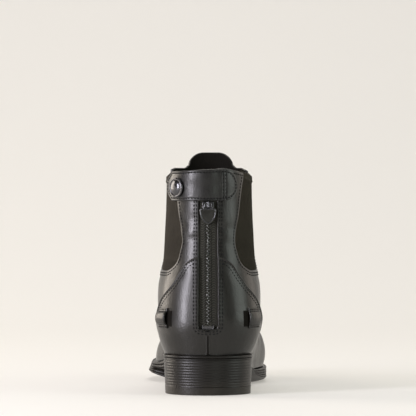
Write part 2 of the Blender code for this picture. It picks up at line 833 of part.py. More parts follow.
def make_zip(cloth, metal):
    """Zip in its slot: tape behind, chain of teeth down the middle, bottom stop."""
    top = COLLAR_HEIGHT - 2 * GAP
    low = ZIP_BOTTOM + GAP
    back = -WALL
    front = back + ZIP_TAPE_THICKNESS
    slot_half, slot_height = slot_edge()
    heights = np.concatenate([[low], slot_height[1:], np.linspace(slot_height[-1], top, 18)[1:]])
    halves = np.interp(heights, slot_height, slot_half) - 2 * GAP
    across = halves[:, None] * np.linspace(-1.0, 1.0, 5)
    height = np.repeat(heights[:, None], 5, axis=1)
    wrap("zip_tape", back_form, across, height, back, front, cloth)

    half = ZIP_CHAIN_WIDTH / 2
    heights = np.linspace(low + 2 * STOP_HEIGHT, top, 20)
    across, height = np.meshgrid(np.array([-half, -half / 2, half / 2, half]), heights)
    crown = np.where(np.abs(across) < half * 0.9, 1.0, 0.55) * ZIP_CHAIN_THICKNESS
    wrap("zip_chain", back_form, across, height, front + GAP, front + GAP + crown, metal)

    half = STOP_WIDTH / 2
    heights = np.linspace(low + STOP_HEIGHT / 2, low + 1.5 * STOP_HEIGHT, 5)
    across, height = np.meshgrid(np.linspace(-half, half, 5), heights)
    wrap("zip_stop", back_form, across, height, front + GAP, front + GAP + ZIP_CHAIN_THICKNESS, metal)
    return front + GAP + ZIP_CHAIN_THICKNESS


def back_face(height):
    """Place in Y of the upper's outer face at the middle of the back."""
    return float(back_line(height)) - HEEL_LENGTH / 2


def join(thing, other):
    """Unite a second closed form with a piece, and hide that form."""
    modifier = thing.modifiers.new("join_" + other.name, "BOOLEAN")
    modifier.operation = "UNION"
    modifier.object = other
    modifier.solver = "EXACT"
    other.hide_render = True
    other.display_type = "WIRE"


def pull_clearance():
    """Room that the bridge leaves round the pull's hinge axis."""
    return PULL_THICKNESS / 2 + GAP


def slider_top():
    """Height of the slider's top edge, just under the tab."""
    return TAB_BOTTOM - 2 * GAP


def pull_height():
    """Height of the pull's hinge axis, in a bridge that ends level with the slider."""
    return slider_top() - BRIDGE_THICKNESS - pull_clearance()


def pull_axis(chain_front):
    """Place in Y of the pull's hinge axis, and the front of the slider's plate."""
    surface = back_face(pull_height())
    plate_front = surface - chain_front - GAP - SLIDER_THICKNESS
    return plate_front - GAP - PULL_THICKNESS / 2, plate_front


def make_slider(chain_front, metal):
    """Slider: a plate on the chain with a narrow bridge that carries the pull."""
    axis, plate_front = pull_axis(chain_front)
    top = slider_top()
    half = SLIDER_WIDTH / 2
    shoulder = 0.7 * half
    waist = top - 0.55 * SLIDER_LENGTH
    foot = top - SLIDER_LENGTH
    outline = [(-shoulder, foot), (shoulder, foot), (half, waist), (half, top), (-half, top), (-half, waist)]
    slider = carry("zip_slider", outline, plate_front, plate_front + SLIDER_THICKNESS, "Y", metal)

    roof_back = axis - pull_clearance()
    roof_front = roof_back - BRIDGE_THICKNESS
    low = pull_height() - pull_clearance() - BRIDGE_THICKNESS
    sunk = plate_front + SLIDER_THICKNESS / 2
    outline = [
        (sunk, low), (roof_front, low), (roof_front, top), (sunk, top),
        (sunk, top - BRIDGE_THICKNESS), (roof_back, top - BRIDGE_THICKNESS),
        (roof_back, low + BRIDGE_THICKNESS), (sunk, low + BRIDGE_THICKNESS),
    ]
    bridge = carry("slider_bridge_form", outline, -BRIDGE_WIDTH / 2, BRIDGE_WIDTH / 2, "X", metal)
    join(slider, bridge)
    return slider


def shield_outline():
    """Half outline of the pull's shield, top to point, as places across and down from the axis."""
    down = PULL_EYE_LENGTH + PULL_THICKNESS / 2 + SHIELD["down"] * SHIELD_LENGTH
    return SHIELD["half"] * SHIELD_WIDTH / 2, down


def make_pull(chain_front, metal):
    """Pull tab that hangs from the slider's bridge: a round bar in an eye, and a shield below it."""
    axis, _ = pull_axis(chain_front)
    across, down = shield_outline()
    point = down[-1] + (1 - SHIELD["down"][-1]) * SHIELD_LENGTH
    right = list(zip(across, -down))
    left = list(zip(-across, -down))
    outline = right + [(0.0, -point)] + left[::-1]
    half = PULL_THICKNESS / 2
    inner = [(x * (1 - 2 * PULL_RIM / SHIELD_WIDTH),
              -down[0] - PULL_RIM + (z + down[0]) * (1 - 2.2 * PULL_RIM / SHIELD_LENGTH)) for x, z in outline]
    count = len(outline)
    rings = [
        [(x, half, z) for x, z in outline],
        [(x, -half, z) for x, z in outline],
        [(x, -half, z) for x, z in inner],
        [(x * 0.96, -half + PULL_RECESS, z) for x, z in inner],
    ]
    vertices = [vertex for ring in rings for vertex in ring]
    numbers = [list(range(k * count, (k + 1) * count)) for k in range(4)]
    faces = [tuple(numbers[0]), tuple(numbers[3])]
    for k in range(3):
        faces += strip_faces(numbers[k], numbers[k + 1], True)
    pull = add_object("zip_pull", vertices, faces, metal)
    pull.location = (0.0, axis, pull_height())

    bar = PULL_EYE_WIDTH / 2
    arm = (PULL_EYE_WIDTH - BRIDGE_WIDTH - 4 * GAP) / 2
    reach = -(down[0] + PULL_RIM / 2)
    slim = half - PULL_RECESS / 2
    side = [(-slim, reach), (slim, reach), (slim, 0.0), (-slim, 0.0)]
    forms = [
        carry("pull_bar_form", arc((0.0, 0.0), half, 0, 360, 17)[:-1], -bar, bar, "X", metal),
        carry("pull_left_arm_form", side, GAP - bar, arm - bar, "X", metal),
        carry("pull_right_arm_form", side, bar - arm, bar - GAP, "X", metal),
    ]
    for form in forms:
        form.location = pull.location
        join(pull, form)
    return pull


def tab_line(reach):
    """Turn on the shaft's back that lies a given distance round from its middle."""
    height = TAB_BOTTOM + TAB_WIDTH / 2
    turns = np.linspace(0.0, 0.75 * math.pi, 200)
    points = shaft_form(np.sign(reach) * turns + 1e-9 * np.sign(reach), height * np.ones_like(turns))
    run = np.concatenate([[0.0], np.cumsum(np.linalg.norm(np.diff(points, axis=0), axis=1))])
    return float(np.sign(reach)) * np.interp(abs(reach), run, turns)


def make_tab(leather):
    """Snap tab across the shaft's back: cut corners at its free end, a round end where it is sewn."""
    reaches = np.concatenate([
        -TAB_REACH_MEDIAL + np.array([0.0, 0.0022, 0.0050]),
        np.linspace(-TAB_REACH_MEDIAL + 0.009, TAB_REACH_LATERAL - TAB_WIDTH / 2, 13),
        TAB_REACH_LATERAL - TAB_WIDTH / 2 * (1 - np.sin(np.radians([25.0, 45.0, 62.0, 76.0, 86.0]))),
    ])
    corner = 0.0060
    cut_in = np.clip(corner - (reaches + TAB_REACH_MEDIAL), 0.0, corner) * 0.9
    over = np.clip((reaches - TAB_REACH_LATERAL + TAB_WIDTH / 2) / (TAB_WIDTH / 2), 0.0, 1.0)
    round_in = TAB_WIDTH / 2 * (1 - np.sqrt(1 - over**2))
    half = TAB_WIDTH / 2 - cut_in - round_in
    turns = np.array([tab_line(reach) for reach in reaches])
    shares = np.linspace(-1.0, 1.0, 5)
    turn = np.repeat(turns[None, :], len(shares), axis=0)
    height = TAB_BOTTOM + TAB_WIDTH / 2 + shares[:, None] * half[None, :]
    return wrap("snap_tab", shaft_form, turn, height, 2 * GAP, 2 * GAP + TAB_THICKNESS, leather)


def make_snap(metal):
    """Snap cap: a low dome in a rounded rim, turned about the tab's normal."""
    turn = np.array([tab_line(-SNAP_REACH)])
    height = np.array([TAB_BOTTOM + TAB_WIDTH * 0.45])
    point = shaft_form(turn, height)[0]
    normal = Vector(outward(shaft_form, turn, height)[0])
    radius = SNAP_DIAMETER / 2
    profile = [
        (0.0, 0.0),
        (0.55, 0.0),
        (0.92, 0.18),
        (1.00, 0.36),
        (0.99, 0.52),
        (0.92, 0.64),
        (0.84, 0.62),
        (0.80, 0.56),
        (0.70, 0.74),
        (0.50, 0.90),
        (0.25, 0.98),
        (0.0, 1.0),
    ]
    segments = 16
    vertices = [(0.0, 0.0, 0.0)]
    rings = []
    for share, up in profile[1:-1]:
        rings.append(list(range(len(vertices), len(vertices) + segments)))
        for step in range(segments):
            angle = 2 * math.pi * step / segments
            vertices.append((share * radius * math.cos(angle), share * radius * math.sin(angle),
                             up * SNAP_HEIGHT))
    vertices.append((0.0, 0.0, SNAP_HEIGHT))
    faces = []
    for first, second in zip(rings, rings[1:]):
        faces += strip_faces(first, second, True)
    for ring, pole in ((rings[0], 0), (rings[-1], len(vertices) - 1)):
        faces += [(ring[i], ring[(i + 1) % segments], pole) for i in range(segments)]
    snap = add_object("snap_button", vertices, faces, metal)
    base = Vector(point) + normal * (3 * GAP + TAB_THICKNESS)
    snap.matrix_world = Matrix.Translation(base) @ normal.to_track_quat("Z", "Y").to_matrix().to_4x4()
    return snap


def ring_stations(count):
    """Stations of a sole ring, close together at heel and toe, as shares of its length."""
    return (1 - np.cos(np.linspace(0.0, np.pi, count + 1))) / 2


def plan_ring(along_start, along_end, count, outline):
    """Closed ring round an outline: the medial side from back to front, then the lateral side back."""
    along = along_start + (along_end - along_start) * ring_stations(count)
    medial = np.stack([outline(along, -1.0), along], axis=-1)
    lateral = np.stack([outline(along, 1.0), along], axis=-1)
    return np.concatenate([medial, lateral[-2:0:-1]])


def ring_normals(ring):
    """Outward normals in plan of a closed ring that runs clockwise seen from above."""
    run = np.roll(ring, -1, axis=0) - np.roll(ring, 1, axis=0)
    normal = np.stack([-run[:, 1], run[:, 0]], axis=-1)
    normal /= np.linalg.norm(normal, axis=-1, keepdims=True)
    return normal


def cap_faces(ring, count):
    """Faces across a ring of paired points, from its back point to its front point."""
    total = 2 * count
    faces = [(ring[0], ring[1], ring[total - 1])]
    for index in range(1, count - 1):
        faces.append((ring[index], ring[index + 1], ring[total - index - 1], ring[total - index]))
    faces.append((ring[count - 1], ring[count], ring[count + 1]))
    return faces


def make_sole(rubber):
    """Sole with its welt step, ribbed edge, arch, toe spring and cambered tread."""
    count = 34
    edge = plan_ring(0.0, SOLE_LENGTH, count, sole_outline)
    normal = ring_normals(edge)
    station = edge[:, 1] / SOLE_LENGTH
    flare = SOLE_FLARE * ramp(station, 0.50, 0.66) * np.where(edge[:, 0] < 0, 1.0, 0.0)
    flare = flare * (1 - ramp(station, 0.85, 1.0))
    top = sole_top(edge[:, 1])
    rings = []
    for down, step in zip(SOLE_SIDE["down"], SOLE_SIDE["cut"]):
        plan = edge + normal * (flare * down - step * SIDE_STEP)[:, None]
        bottom = sole_bottom(edge[:, 1], plan[:, 0])
        rings.append(np.column_stack([plan, top + (bottom - top) * down]))
    vertices = [place(ring[:, 0], ring[:, 1], ring[:, 2]) for ring in rings]
    numbers = [list(range(k * 2 * count, (k + 1) * 2 * count)) for k in range(len(rings))]
    faces = cap_faces(numbers[0], count)
    for first, second in zip(numbers, numbers[1:]):
        faces += strip_faces(first, second, True)

    low = rings[-1]
    across = np.array([0.12, 0.24, 0.36, 0.55, 0.80, 0.90])
    start = len(rings) * 2 * count
    rows = [[numbers[-1][0]]]
    extra = []
    for index in range(1, count):
        medial, lateral = low[index], low[2 * count - index]
        run = medial[:2] + (lateral[:2] - medial[:2]) * across[:, None]
        points = place(run[:, 0], run[:, 1], sole_bottom(run[:, 1], run[:, 0]))
        inside = list(range(start + len(extra), start + len(extra) + len(across)))
        extra += [tuple(point) for point in points]
        rows.append([numbers[-1][index]] + inside + [numbers[-1][2 * count - index]])
    rows.append([numbers[-1][count]])
    for first, second in zip(rows, rows[1:]):
        if len(first) == 1:
            faces += [(first[0], second[j], second[j + 1]) for j in range(len(second) - 1)]
        elif len(second) == 1:
            faces += [(first[j], first[j + 1], second[0]) for j in range(len(first) - 1)]
        else:
            faces += strip_faces(first, second, False)
    vertices = np.concatenate(vertices + [np.array(extra)])
    return add_object("sole", vertices, faces, rubber)


def heel_ring():
    """Ring round the heel: the sole's outline behind, and a breast that is hollowed a little."""
    along = HEEL_LENGTH * np.array([1.0, 0.86, 0.72, 0.58, 0.44, 0.32, 0.21, 0.125, 0.06, 0.016])
    medial = np.stack([sole_outline(along, -1.0), along], axis=-1)
    lateral = np.stack([sole_outline(along, 1.0), along], axis=-1)
    tip = np.array([[sole_outline(np.array([0.0]), 1.0)[0], 0.0]])
    across = np.linspace(lateral[0, 0], medial[0, 0], 7)[1:-1]
    hollow = 0.03 * HEEL_LENGTH * (1 - (2 * across / HEEL_WIDTH) ** 2)
    breast = np.stack([across, HEEL_LENGTH - hollow], axis=-1)
    return np.concatenate([medial, tip, lateral[::-1], breast])


def stack_solid(name, heights, cuts, material):
    """Heel layer built of rings at the given heights, each cut in by its own distance."""
    ring = heel_ring()
    normal = -ring_normals(ring) if polygon_turns_left(ring) else ring_normals(ring)
    taper = HEEL_TAPER * (1 - heights / HEEL_HEIGHT)
    rings = []
    for height, inset in zip(heights, cuts + taper + GAP):
        plan = ring - normal * inset
        rings.append(place(plan[:, 0], plan[:, 1], height))
    count = len(ring)
    numbers = [list(range(k * count, (k + 1) * count)) for k in range(len(rings))]
    faces = [tuple(numbers[0]), tuple(numbers[-1])]
    for first, second in zip(numbers, numbers[1:]):
        faces += strip_faces(first, second, True)
    return add_object(name, np.concatenate(rings), faces, material)


def polygon_turns_left(ring):
    """Whether a ring runs anticlockwise seen from above."""
    x, y = ring[:, 0], ring[:, 1]
    return (x * np.roll(y, -1) - np.roll(x, -1) * y).sum() > 0


def make_heel(rubber):
    """Stacked heel with fine ribs round it, and its smooth top lift on the ground."""
    low = TOP_LIFT_THICKNESS + GAP
    high = HEEL_HEIGHT - GAP
    ribs = max(1, round((high - low) / HEEL_RIB_PITCH))
    pitch = (high - low) / ribs
    heights, cuts = [low], [HEEL_RIB_DEPTH]
    for rib in range(ribs):
        heights += [low + (rib + 0.4) * pitch, low + (rib + 1.0) * pitch]
        cuts += [0.0, HEEL_RIB_DEPTH]
    stack_solid("heel", np.array(heights), np.array(cuts), rubber)
    bevel = HEEL_RIB_DEPTH
    heights = np.array([0.0, bevel, TOP_LIFT_THICKNESS - bevel, TOP_LIFT_THICKNESS])
    stack_solid("top_lift", heights, np.array([bevel, 0.0, 0.0, bevel]), rubber)


def make_insole(lining):
    """Insole that covers the sole inside the upper's wall."""
    count = AROUND // 2
    turns = np.linspace(0.0, 2 * np.pi, AROUND + 1)[:-1]
    feather = last_form(turns, np.zeros_like(turns))
    along = feather[:, 1] + HEEL_LENGTH / 2
    ring = np.column_stack([feather[:, 0], along])
    normal = -ring_normals(ring) if polygon_turns_left(ring) else ring_normals(ring)
    low = sole_top(along) + GAP
    foot = ring - normal * (WALL + 2 * GAP)
    rim = foot - normal * INSOLE_BEVEL
    bottom = place(foot[:, 0], foot[:, 1], low)
    top = place(rim[:, 0], rim[:, 1], low + INSOLE_THICKNESS)
    numbers = [list(range(2 * count)), list(range(2 * count, 4 * count))]
    faces = cap_faces(numbers[0], count) + cap_faces(numbers[1], count)
    faces += strip_faces(numbers[0], numbers[1], True)
    return add_object("insole", np.concatenate([bottom, top]), faces, lining)


def make_boot():
    """Every piece of the boot in its place."""
    for old in list(bpy.data.objects):
        bpy.data.objects.remove(old, do_unlink=True)
    leather = plain_material("black_leather", (0.022, 0.021, 0.020), 0.38, 0.0)
    counter_leather = plain_material("counter_leather", (0.024, 0.023, 0.021), 0.36, 0.0)
    strap_leather = plain_material("strap_leather", (0.020, 0.020, 0.020), 0.34, 0.0)
    elastic = plain_material("gore_elastic", (0.020, 0.018, 0.014), 0.85, 0.0)
    cloth = plain_material("zip_tape_cloth", (0.012, 0.012, 0.012), 0.80, 0.0)
    teeth = plain_material("zip_teeth", (0.015, 0.015, 0.016), 0.45, 0.0)
    metal = plain_material("dark_metal", (0.060, 0.060, 0.065), 0.30, 0.9)
    rubber = plain_material("sole_rubber", (0.030, 0.029, 0.028), 0.48, 0.0)
    lining = plain_material("insole_lining", (0.050, 0.045, 0.040), 0.75, 0.0)

    make_sole(rubber)
    make_heel(rubber)
    make_insole(lining)
    upper = make_upper(leather)
    trim_collar(upper)
    counter = make_counter(counter_leather)
    slot = zip_cutter()
    cut(upper, slot)
    cut(counter, slot)
    for word, side in SIDES:
        make_gore("gore_" + word, side, elastic)
        make_spur_loop("spur_loop_" + word, side, counter_leather)
    chain_front = make_zip(cloth, teeth)
    make_slider(chain_front, metal)
    make_pull(chain_front, metal)
    make_tab(strap_leather)
    make_snap(metal)


make_boot()
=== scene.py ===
"""Looks of the right paddock boot: leather, elastic, zip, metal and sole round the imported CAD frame.

Lengths are in metres. "Along" is the distance forward from the heel's rearmost point, "turn" the angle round
the shaft from the back line (0) towards the crest (pi), negative on the medial side.
"""

import math

import bpy
import numpy as np
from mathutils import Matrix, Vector


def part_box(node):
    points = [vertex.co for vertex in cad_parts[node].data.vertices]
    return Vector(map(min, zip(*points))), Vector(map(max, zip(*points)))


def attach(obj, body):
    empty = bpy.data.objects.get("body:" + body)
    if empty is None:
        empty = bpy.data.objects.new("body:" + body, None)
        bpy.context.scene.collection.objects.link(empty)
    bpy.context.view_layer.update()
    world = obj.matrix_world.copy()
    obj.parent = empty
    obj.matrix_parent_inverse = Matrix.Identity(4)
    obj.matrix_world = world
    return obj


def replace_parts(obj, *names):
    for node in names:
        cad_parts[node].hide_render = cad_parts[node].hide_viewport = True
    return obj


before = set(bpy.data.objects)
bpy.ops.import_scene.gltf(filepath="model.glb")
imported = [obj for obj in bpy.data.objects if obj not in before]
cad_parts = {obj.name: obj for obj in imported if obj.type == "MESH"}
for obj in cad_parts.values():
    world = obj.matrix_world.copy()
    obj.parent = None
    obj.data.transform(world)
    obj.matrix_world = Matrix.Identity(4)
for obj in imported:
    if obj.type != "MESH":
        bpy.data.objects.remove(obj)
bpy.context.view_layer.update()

SOLE_LENGTH = 0.276
BALL_WIDTH = 0.095
HEEL_WIDTH = 0.0664
HEEL_LENGTH = 0.060
HEEL_HEIGHT = 0.026
SEAT_THICKNESS = 0.0034
TREAD_THICKNESS = 0.0143
TOE_SPRING = 0.008
HEEL_ROUNDING = 0.030
TOE_ROUNDING = 0.050
SOLE_FLARE = 0.0027
TREAD_CAMBER = 0.0076
TOP_LIFT_THICKNESS = 0.006
HEEL_TAPER = 0.0012
HEEL_RIB_PITCH = 0.0020
HEEL_RIB_DEPTH = 0.00012
COLLAR_HEIGHT = 0.1687
COLLAR_WIDTH = 0.0663
COLLAR_DEPTH = 0.096
ANKLE_WIDTH = 0.0776
SHAFT_LEAN = 0.0009
INSTEP_HEIGHT = 0.084
WALL = 0.0022
FEATHER_INSET = 0.0023
SIDE_BULGE = 0.0021
CUP_RISE = 0.029
CREST_SHIFT = 0.001
PEAK_RISE = 0.0122
PEAK_WIDTH = 0.0355
PEAK_CORNER = 0.0118
PEAK_OFFSET = 0.0021
COUNTER_THICKNESS = 0.0011
COUNTER_BEAD = 0.0005
COUNTER_HEIGHT = 0.104
COUNTER_REACH = 0.098
GORE_HEIGHT = 0.0715
GORE_TOP = 0.1634
GORE_BOTTOM = GORE_TOP - GORE_HEIGHT
GORE_CORNER = 0.008
GORE_RECESS = 0.0008
GORE_HEM = 0.0042
GORE_SAG = 0.0046
ELASTIC_THICKNESS = 0.0014
RIB_DEPTH = 0.00022
RIB_PITCH = 0.00105
ZIP_OPENING = 0.0148
ZIP_BOTTOM = 0.0486
ZIP_CORNER = 0.003
TAPE_HALF = 0.0078
TAPE_RECESS = 0.0016
TAPE_THICKNESS = 0.0006
COIL_PITCH = 0.0027
COIL_RADIUS = 0.00062
COIL_RECESS = 0.0009
TAB_BOTTOM = 0.1444
TAB_WIDTH = 0.0222
TAB_THICKNESS = 0.0019
TAB_REACH_MEDIAL = 0.0402
TAB_REACH_LATERAL = 0.0222
TAB_SPREAD = 0.0015
TAB_EDGE = 0.0008
TAB_CORNER = 0.0085
TAB_INSET = 0.0017
TAB_PRESS = 0.00025
TAB_ROWS = (0.0103, 0.0122)
SNAP_DIAMETER = 0.0148
SNAP_HEIGHT = 0.0036
SNAP_REACH = 0.0245
LOOP_BOTTOM = 0.0495
LOOP_HEIGHT = 0.0148
LOOP_LENGTH = 0.0108
LOOP_START = 0.0128
LOOP_THICKNESS = 0.0014
LOOP_EDGE = 0.0006
LOOP_START_MEDIAL = 0.0141
LOOP_ARCH = 0.0013
LOOP_ARCH_MEDIAL = 0.0028
GAP = 0.0003
GROOVE = 0.0011
SOLE_GROOVES = (0.22, 0.42, 0.62, 0.82)
SOLE_BAND = 0.46
WAIST_CUT = 0.014
PITCH = 0.0024
ZIP_ROWS = (0.0012, 0.0030)
COUNTER_ROWS = (0.0014, 0.0036)
GORE_ROWS = (0.0016, 0.0034)
COLLAR_ROW = 0.0019
BACK_SEAM_HALF = 0.0016
# Half width of the matte dark strip laid over the back seam's groove as painted shade
BACK_SHADE_HALF = 0.0004
SEAM_LIFT = 0.0001
# TINY keeps a place off the middle line, where its side is undecided; LEVEL leaves out the height
TINY = 1e-7
CAMERA_BACK = 2.077
CAMERA_HEIGHT = 0.139
SEAT = HEEL_HEIGHT + SEAT_THICKNESS
COUNTER_FACE = COUNTER_THICKNESS + GAP
FORM_MIDDLE = np.array([0.0, 0.02, 0.0])
LEVEL = np.array([1.0, 1.0, 0.0])
SIDES = (("medial", -1.0), ("lateral", 1.0))


def table(columns, rows):
    """Each named column of a table of rows, as one array."""
    values = np.array(rows, dtype=float)
    return {name: values[:, index] for index, name in enumerate(columns)}


PLAN = table(("station", "medial", "lateral"), [
    (0.000, 0.500, 0.500), (0.130, 0.500, 0.500), (0.217, 0.485, 0.500), (0.308, 0.400, 0.466),
    (0.399, 0.303, 0.425), (0.471, 0.280, 0.426), (0.543, 0.330, 0.456), (0.616, 0.412, 0.489),
    (0.670, 0.463, 0.495), (0.725, 0.479, 0.489), (0.797, 0.474, 0.458), (0.870, 0.455, 0.389),
    (0.942, 0.430, 0.305), (1.000, 0.405, 0.232)])
SOLE_TOP = table(("station", "descent", "spring"), [
    (0.000, 0.00, 0.00), (0.217, 0.02, 0.00), (0.326, 0.27, 0.00), (0.435, 0.62, 0.00), (0.543, 0.89, 0.00),
    (0.634, 0.985, 0.00), (0.725, 1.00, 0.00), (0.833, 1.00, 0.10), (1.000, 1.00, 0.30)])
SOLE_BOTTOM = table(("station", "descent", "spring"), [
    (0.000, 0.00, 0.00), (0.225, 0.00, 0.00), (0.326, 0.21, 0.00), (0.435, 0.56, 0.00), (0.525, 0.83, 0.00),
    (0.600, 1.00, 0.00), (0.730, 1.00, 0.00), (0.815, 1.00, 0.16), (0.906, 1.00, 0.53), (1.000, 1.00, 1.00)])
CAMBER = table(("across", "rise"), [
    (-0.505, 1.00), (-0.380, 0.45), (-0.260, 0.10), (-0.160, 0.00), (0.360, 0.00), (0.430, 0.15), (0.495, 0.45)])
BACK_LINE = table(("up", "forward"), [
    (0.178, 0.045), (0.326, 0.015), (0.430, 0.024), (0.535, 0.046), (0.714, 0.083), (0.890, 0.083),
    (1.000, 0.068), (1.110, 0.060)])
CREST_LINE = table(("foot", "depth", "instep", "shaft"), [
    (0.9855, 0.000, 0.178, 0.000), (0.9800, 0.000, 0.262, 0.000), (0.9580, 0.000, 0.393, 0.000),
    (0.9130, 0.000, 0.500, 0.000), (0.8510, 0.000, 0.575, 0.000), (0.7610, 0.000, 0.650, 0.000),
    (0.6700, 0.000, 0.745, 0.000), (0.5800, 0.000, 0.872, 0.000), (0.5070, 0.000, 1.000, 0.000),
    (0.4500, 0.000, 1.000, 0.155), (0.2050, 0.589, 1.000, 0.333), (0.0000, 1.115, 1.000, 0.548),
    (0.0000, 1.083, 1.000, 0.786), (0.0000, 1.073, 1.000, 1.024), (0.0000, 1.073, 1.000, 1.220)])
CREST_ROUNDING = table(("station", "medial", "lateral"), [
    (0.00, 0.50, 0.50), (0.55, 0.56, 0.50), (0.72, 0.60, 0.48), (1.00, 0.47, 0.47)])
BACK_ROUNDING = table(("up", "reach"), [(0.17, 0.33), (0.36, 0.40), (0.54, 0.48), (1.0, 0.50)])
SHAFT_WIDTHS = table(("up", "half"), [
    (0.350, 0.496), (0.430, 0.500), (0.480, 0.496), (0.536, 0.480), (0.590, 0.476), (0.645, 0.481),
    (0.755, 0.496), (0.860, 0.503), (0.970, 0.500), (1.100, 0.496)])
COUNTER_SEAM = table(("forward", "up"), [
    (0.054, 1.000), (0.066, 0.993), (0.082, 0.971), (0.107, 0.923), (0.122, 0.863), (0.148, 0.784),
    (0.189, 0.731), (0.240, 0.678), (0.306, 0.601), (0.460, 0.481), (0.660, 0.375), (0.870, 0.298),
    (1.000, 0.250)])
GORE_EDGES = table(("up", "rear", "front"), [
    (0.00, 0.200, 0.765), (0.15, 0.163, 0.785), (0.30, 0.160, 0.792), (0.60, 0.195, 0.798), (1.00, 0.245, 0.800)])
SHIELD = table(("down", "half"), [
    (0.00, 0.92), (0.12, 1.00), (0.30, 0.96), (0.50, 0.90), (0.70, 0.72), (0.86, 0.42), (0.96, 0.16), (1.0, 0.02)])
TILT = table(("station", "medial", "lateral"), [
    (0.200, 0.0000, 0.0000), (0.326, 0.0008, -0.0024), (0.400, 0.0025, -0.0048), (0.471, 0.0042, -0.0055),
    (0.543, 0.0044, -0.0036), (0.616, 0.0020, -0.0021), (0.700, 0.0013, -0.0018), (0.850, 0.0010, -0.0012),
    (1.000, 0.0000, 0.0000)])
COLLAR_BACK = table(("across", "up"), [
    (-0.80, 0.0), (-0.50, -0.0005), (-0.15, 0.0007), (0.35, 0.0031), (0.60, 0.0017), (0.80, 0.0)])
SNAP_PROFILE = table(("radius", "rise"), [
    (0.30, 0.0), (0.80, 0.0), (0.93, 0.10), (0.985, 0.22), (1.0, 0.36), (0.99, 0.48), (0.955, 0.58), (0.90, 0.64),
    (0.85, 0.63), (0.815, 0.58), (0.79, 0.55), (0.765, 0.57), (0.72, 0.66), (0.64, 0.77), (0.53, 0.87), (0.40, 0.94),
    (0.26, 0.985), (0.12, 1.0), (0.04, 1.0)])
# Each light: name, where it stands, where it looks, its two sizes, power and colour
LIGHTS = [
    ("strip_left", (-1.18, -0.86, 0.33), (0.0, 0.0, 0.09), (0.30, 1.0), 29.0, (0.95, 0.92, 1.0)),
    ("wide_left", (-0.85, -1.45, 0.28), (0.0, 0.0, 0.13), (0.55, 0.8), 4.5, (0.98, 0.95, 1.0)),
    ("rim_left", (-1.6, 0.75, 0.45), (0.0, 0.0, 0.08), (0.9, 1.3), 27.0, (1.0, 0.90, 0.79)),
    ("rim_right", (1.6, 0.75, 0.45), (0.0, 0.0, 0.08), (0.9, 1.3), 6.0, (1.0, 0.90, 0.79)),
    ("soft_top", (0.1, 0.1, 1.9), (0.0, 0.05, 0.05), (1.6, 1.6), 15.0, (1.0, 0.985, 0.96)),
    ("fill_right", (1.35, -0.45, 0.4), (0.0, 0.0, 0.12), (0.7, 1.2), 9.5, (0.92, 1.0, 0.93)),
    ("narrow_right", (0.55, -1.55, 0.30), (0.0, 0.0, 0.14), (0.25, 0.8), 2.4, (0.88, 1.0, 0.90))]
# Creases of the worn leather: middle in side view, slant in degrees, length, width, depth (a ridge if negative), side
CREASES = table(("along", "height", "slant", "length", "width", "depth", "side"), [
    (0.158, 0.061, 62.0, 0.060, 0.0026, 0.0009, 0.0), (0.169, 0.056, 66.0, 0.054, 0.0024, 0.0007, 0.0),
    (0.148, 0.064, 55.0, 0.050, 0.0030, 0.0006, 0.0), (0.163, 0.060, 64.0, 0.056, 0.0030, -0.0006, 0.0),
    (0.178, 0.052, 72.0, 0.042, 0.0024, 0.0004, 0.0), (0.104, 0.104, 24.0, 0.046, 0.0040, 0.0013, 0.0),
    (0.112, 0.097, 30.0, 0.040, 0.0034, 0.0008, 0.0), (0.097, 0.112, 16.0, 0.038, 0.0042, 0.0007, 0.0),
    (0.107, 0.100, 27.0, 0.044, 0.0036, -0.0007, 0.0), (0.012, 0.128, -8.0, 0.030, 0.0052, 0.0006, -1.0),
    (0.013, 0.116, 12.0, 0.024, 0.0048, 0.0005, -1.0), (0.011, 0.121, 2.0, 0.026, 0.0050, -0.0003, -1.0),
    (0.013, 0.125, 10.0, 0.026, 0.0050, 0.0005, 1.0), (0.015, 0.112, -6.0, 0.022, 0.0045, 0.0005, 1.0),
    (0.020, 0.096, 26.0, 0.026, 0.0042, 0.0004, 1.0), (0.018, 0.094, 20.0, 0.024, 0.0042, 0.0004, -1.0)])


def smooth(at, values, wanted):
    """Cubic curve through the values without overshoot, flat beyond its ends."""
    wanted = np.clip(np.asarray(wanted, dtype=float), at[0], at[-1])
    step = np.diff(at)
    secant = np.diff(values) / step
    slope = np.concatenate([secant[:1], np.zeros(len(at) - 2), secant[-1:]])
    same = secant[:-1] * secant[1:] > 0
    left, right = np.where(same, secant[:-1], 1.0), np.where(same, secant[1:], 1.0)
    before, after = 2 * step[1:] + step[:-1], step[1:] + 2 * step[:-1]
    slope[1:-1] = np.where(same, (before + after) / (before / left + after / right), 0.0)
    index = np.clip(np.searchsorted(at, wanted) - 1, 0, len(at) - 2)
    width = at[index + 1] - at[index]
    part = (wanted - at[index]) / width
    return (values[index] * (1 + 2 * part) * (1 - part) ** 2 + slope[index] * width * part * (1 - part) ** 2
            + values[index + 1] * part**2 * (3 - 2 * part) - slope[index + 1] * width * part**2 * (1 - part))


def ramp(value, start, end):
    """Soft step from 0 at start to 1 at end: 3p^2 - 2p^3."""
    part = np.clip((np.asarray(value, dtype=float) - start) / (end - start), 0.0, 1.0)
    return part * part * (3 - 2 * part)


def rounding(distance, reach, power=2.1):
    """Share of the full width at a distance inside a rounded end: (1 - (1 - d/r)^p)^(1/p)."""
    share = np.clip(distance / reach, 0.0, 1.0)
    return (1 - (1 - share) ** power) ** (1 / power)


def curve(rows, column, wanted):
    """Smooth curve through a column of a table, over the table's first column."""
    return smooth(next(iter(rows.values())), rows[column], wanted)


def unit(vectors):
    """Vectors brought to length one."""
    return vectors / (np.linalg.norm(vectors, axis=-1, keepdims=True) + 1e-12)


def travelled(points):
    """Distance along a line of points, from 0 at its first."""
    return np.concatenate([[0.0], np.cumsum(np.linalg.norm(np.diff(points, axis=0), axis=-1))])


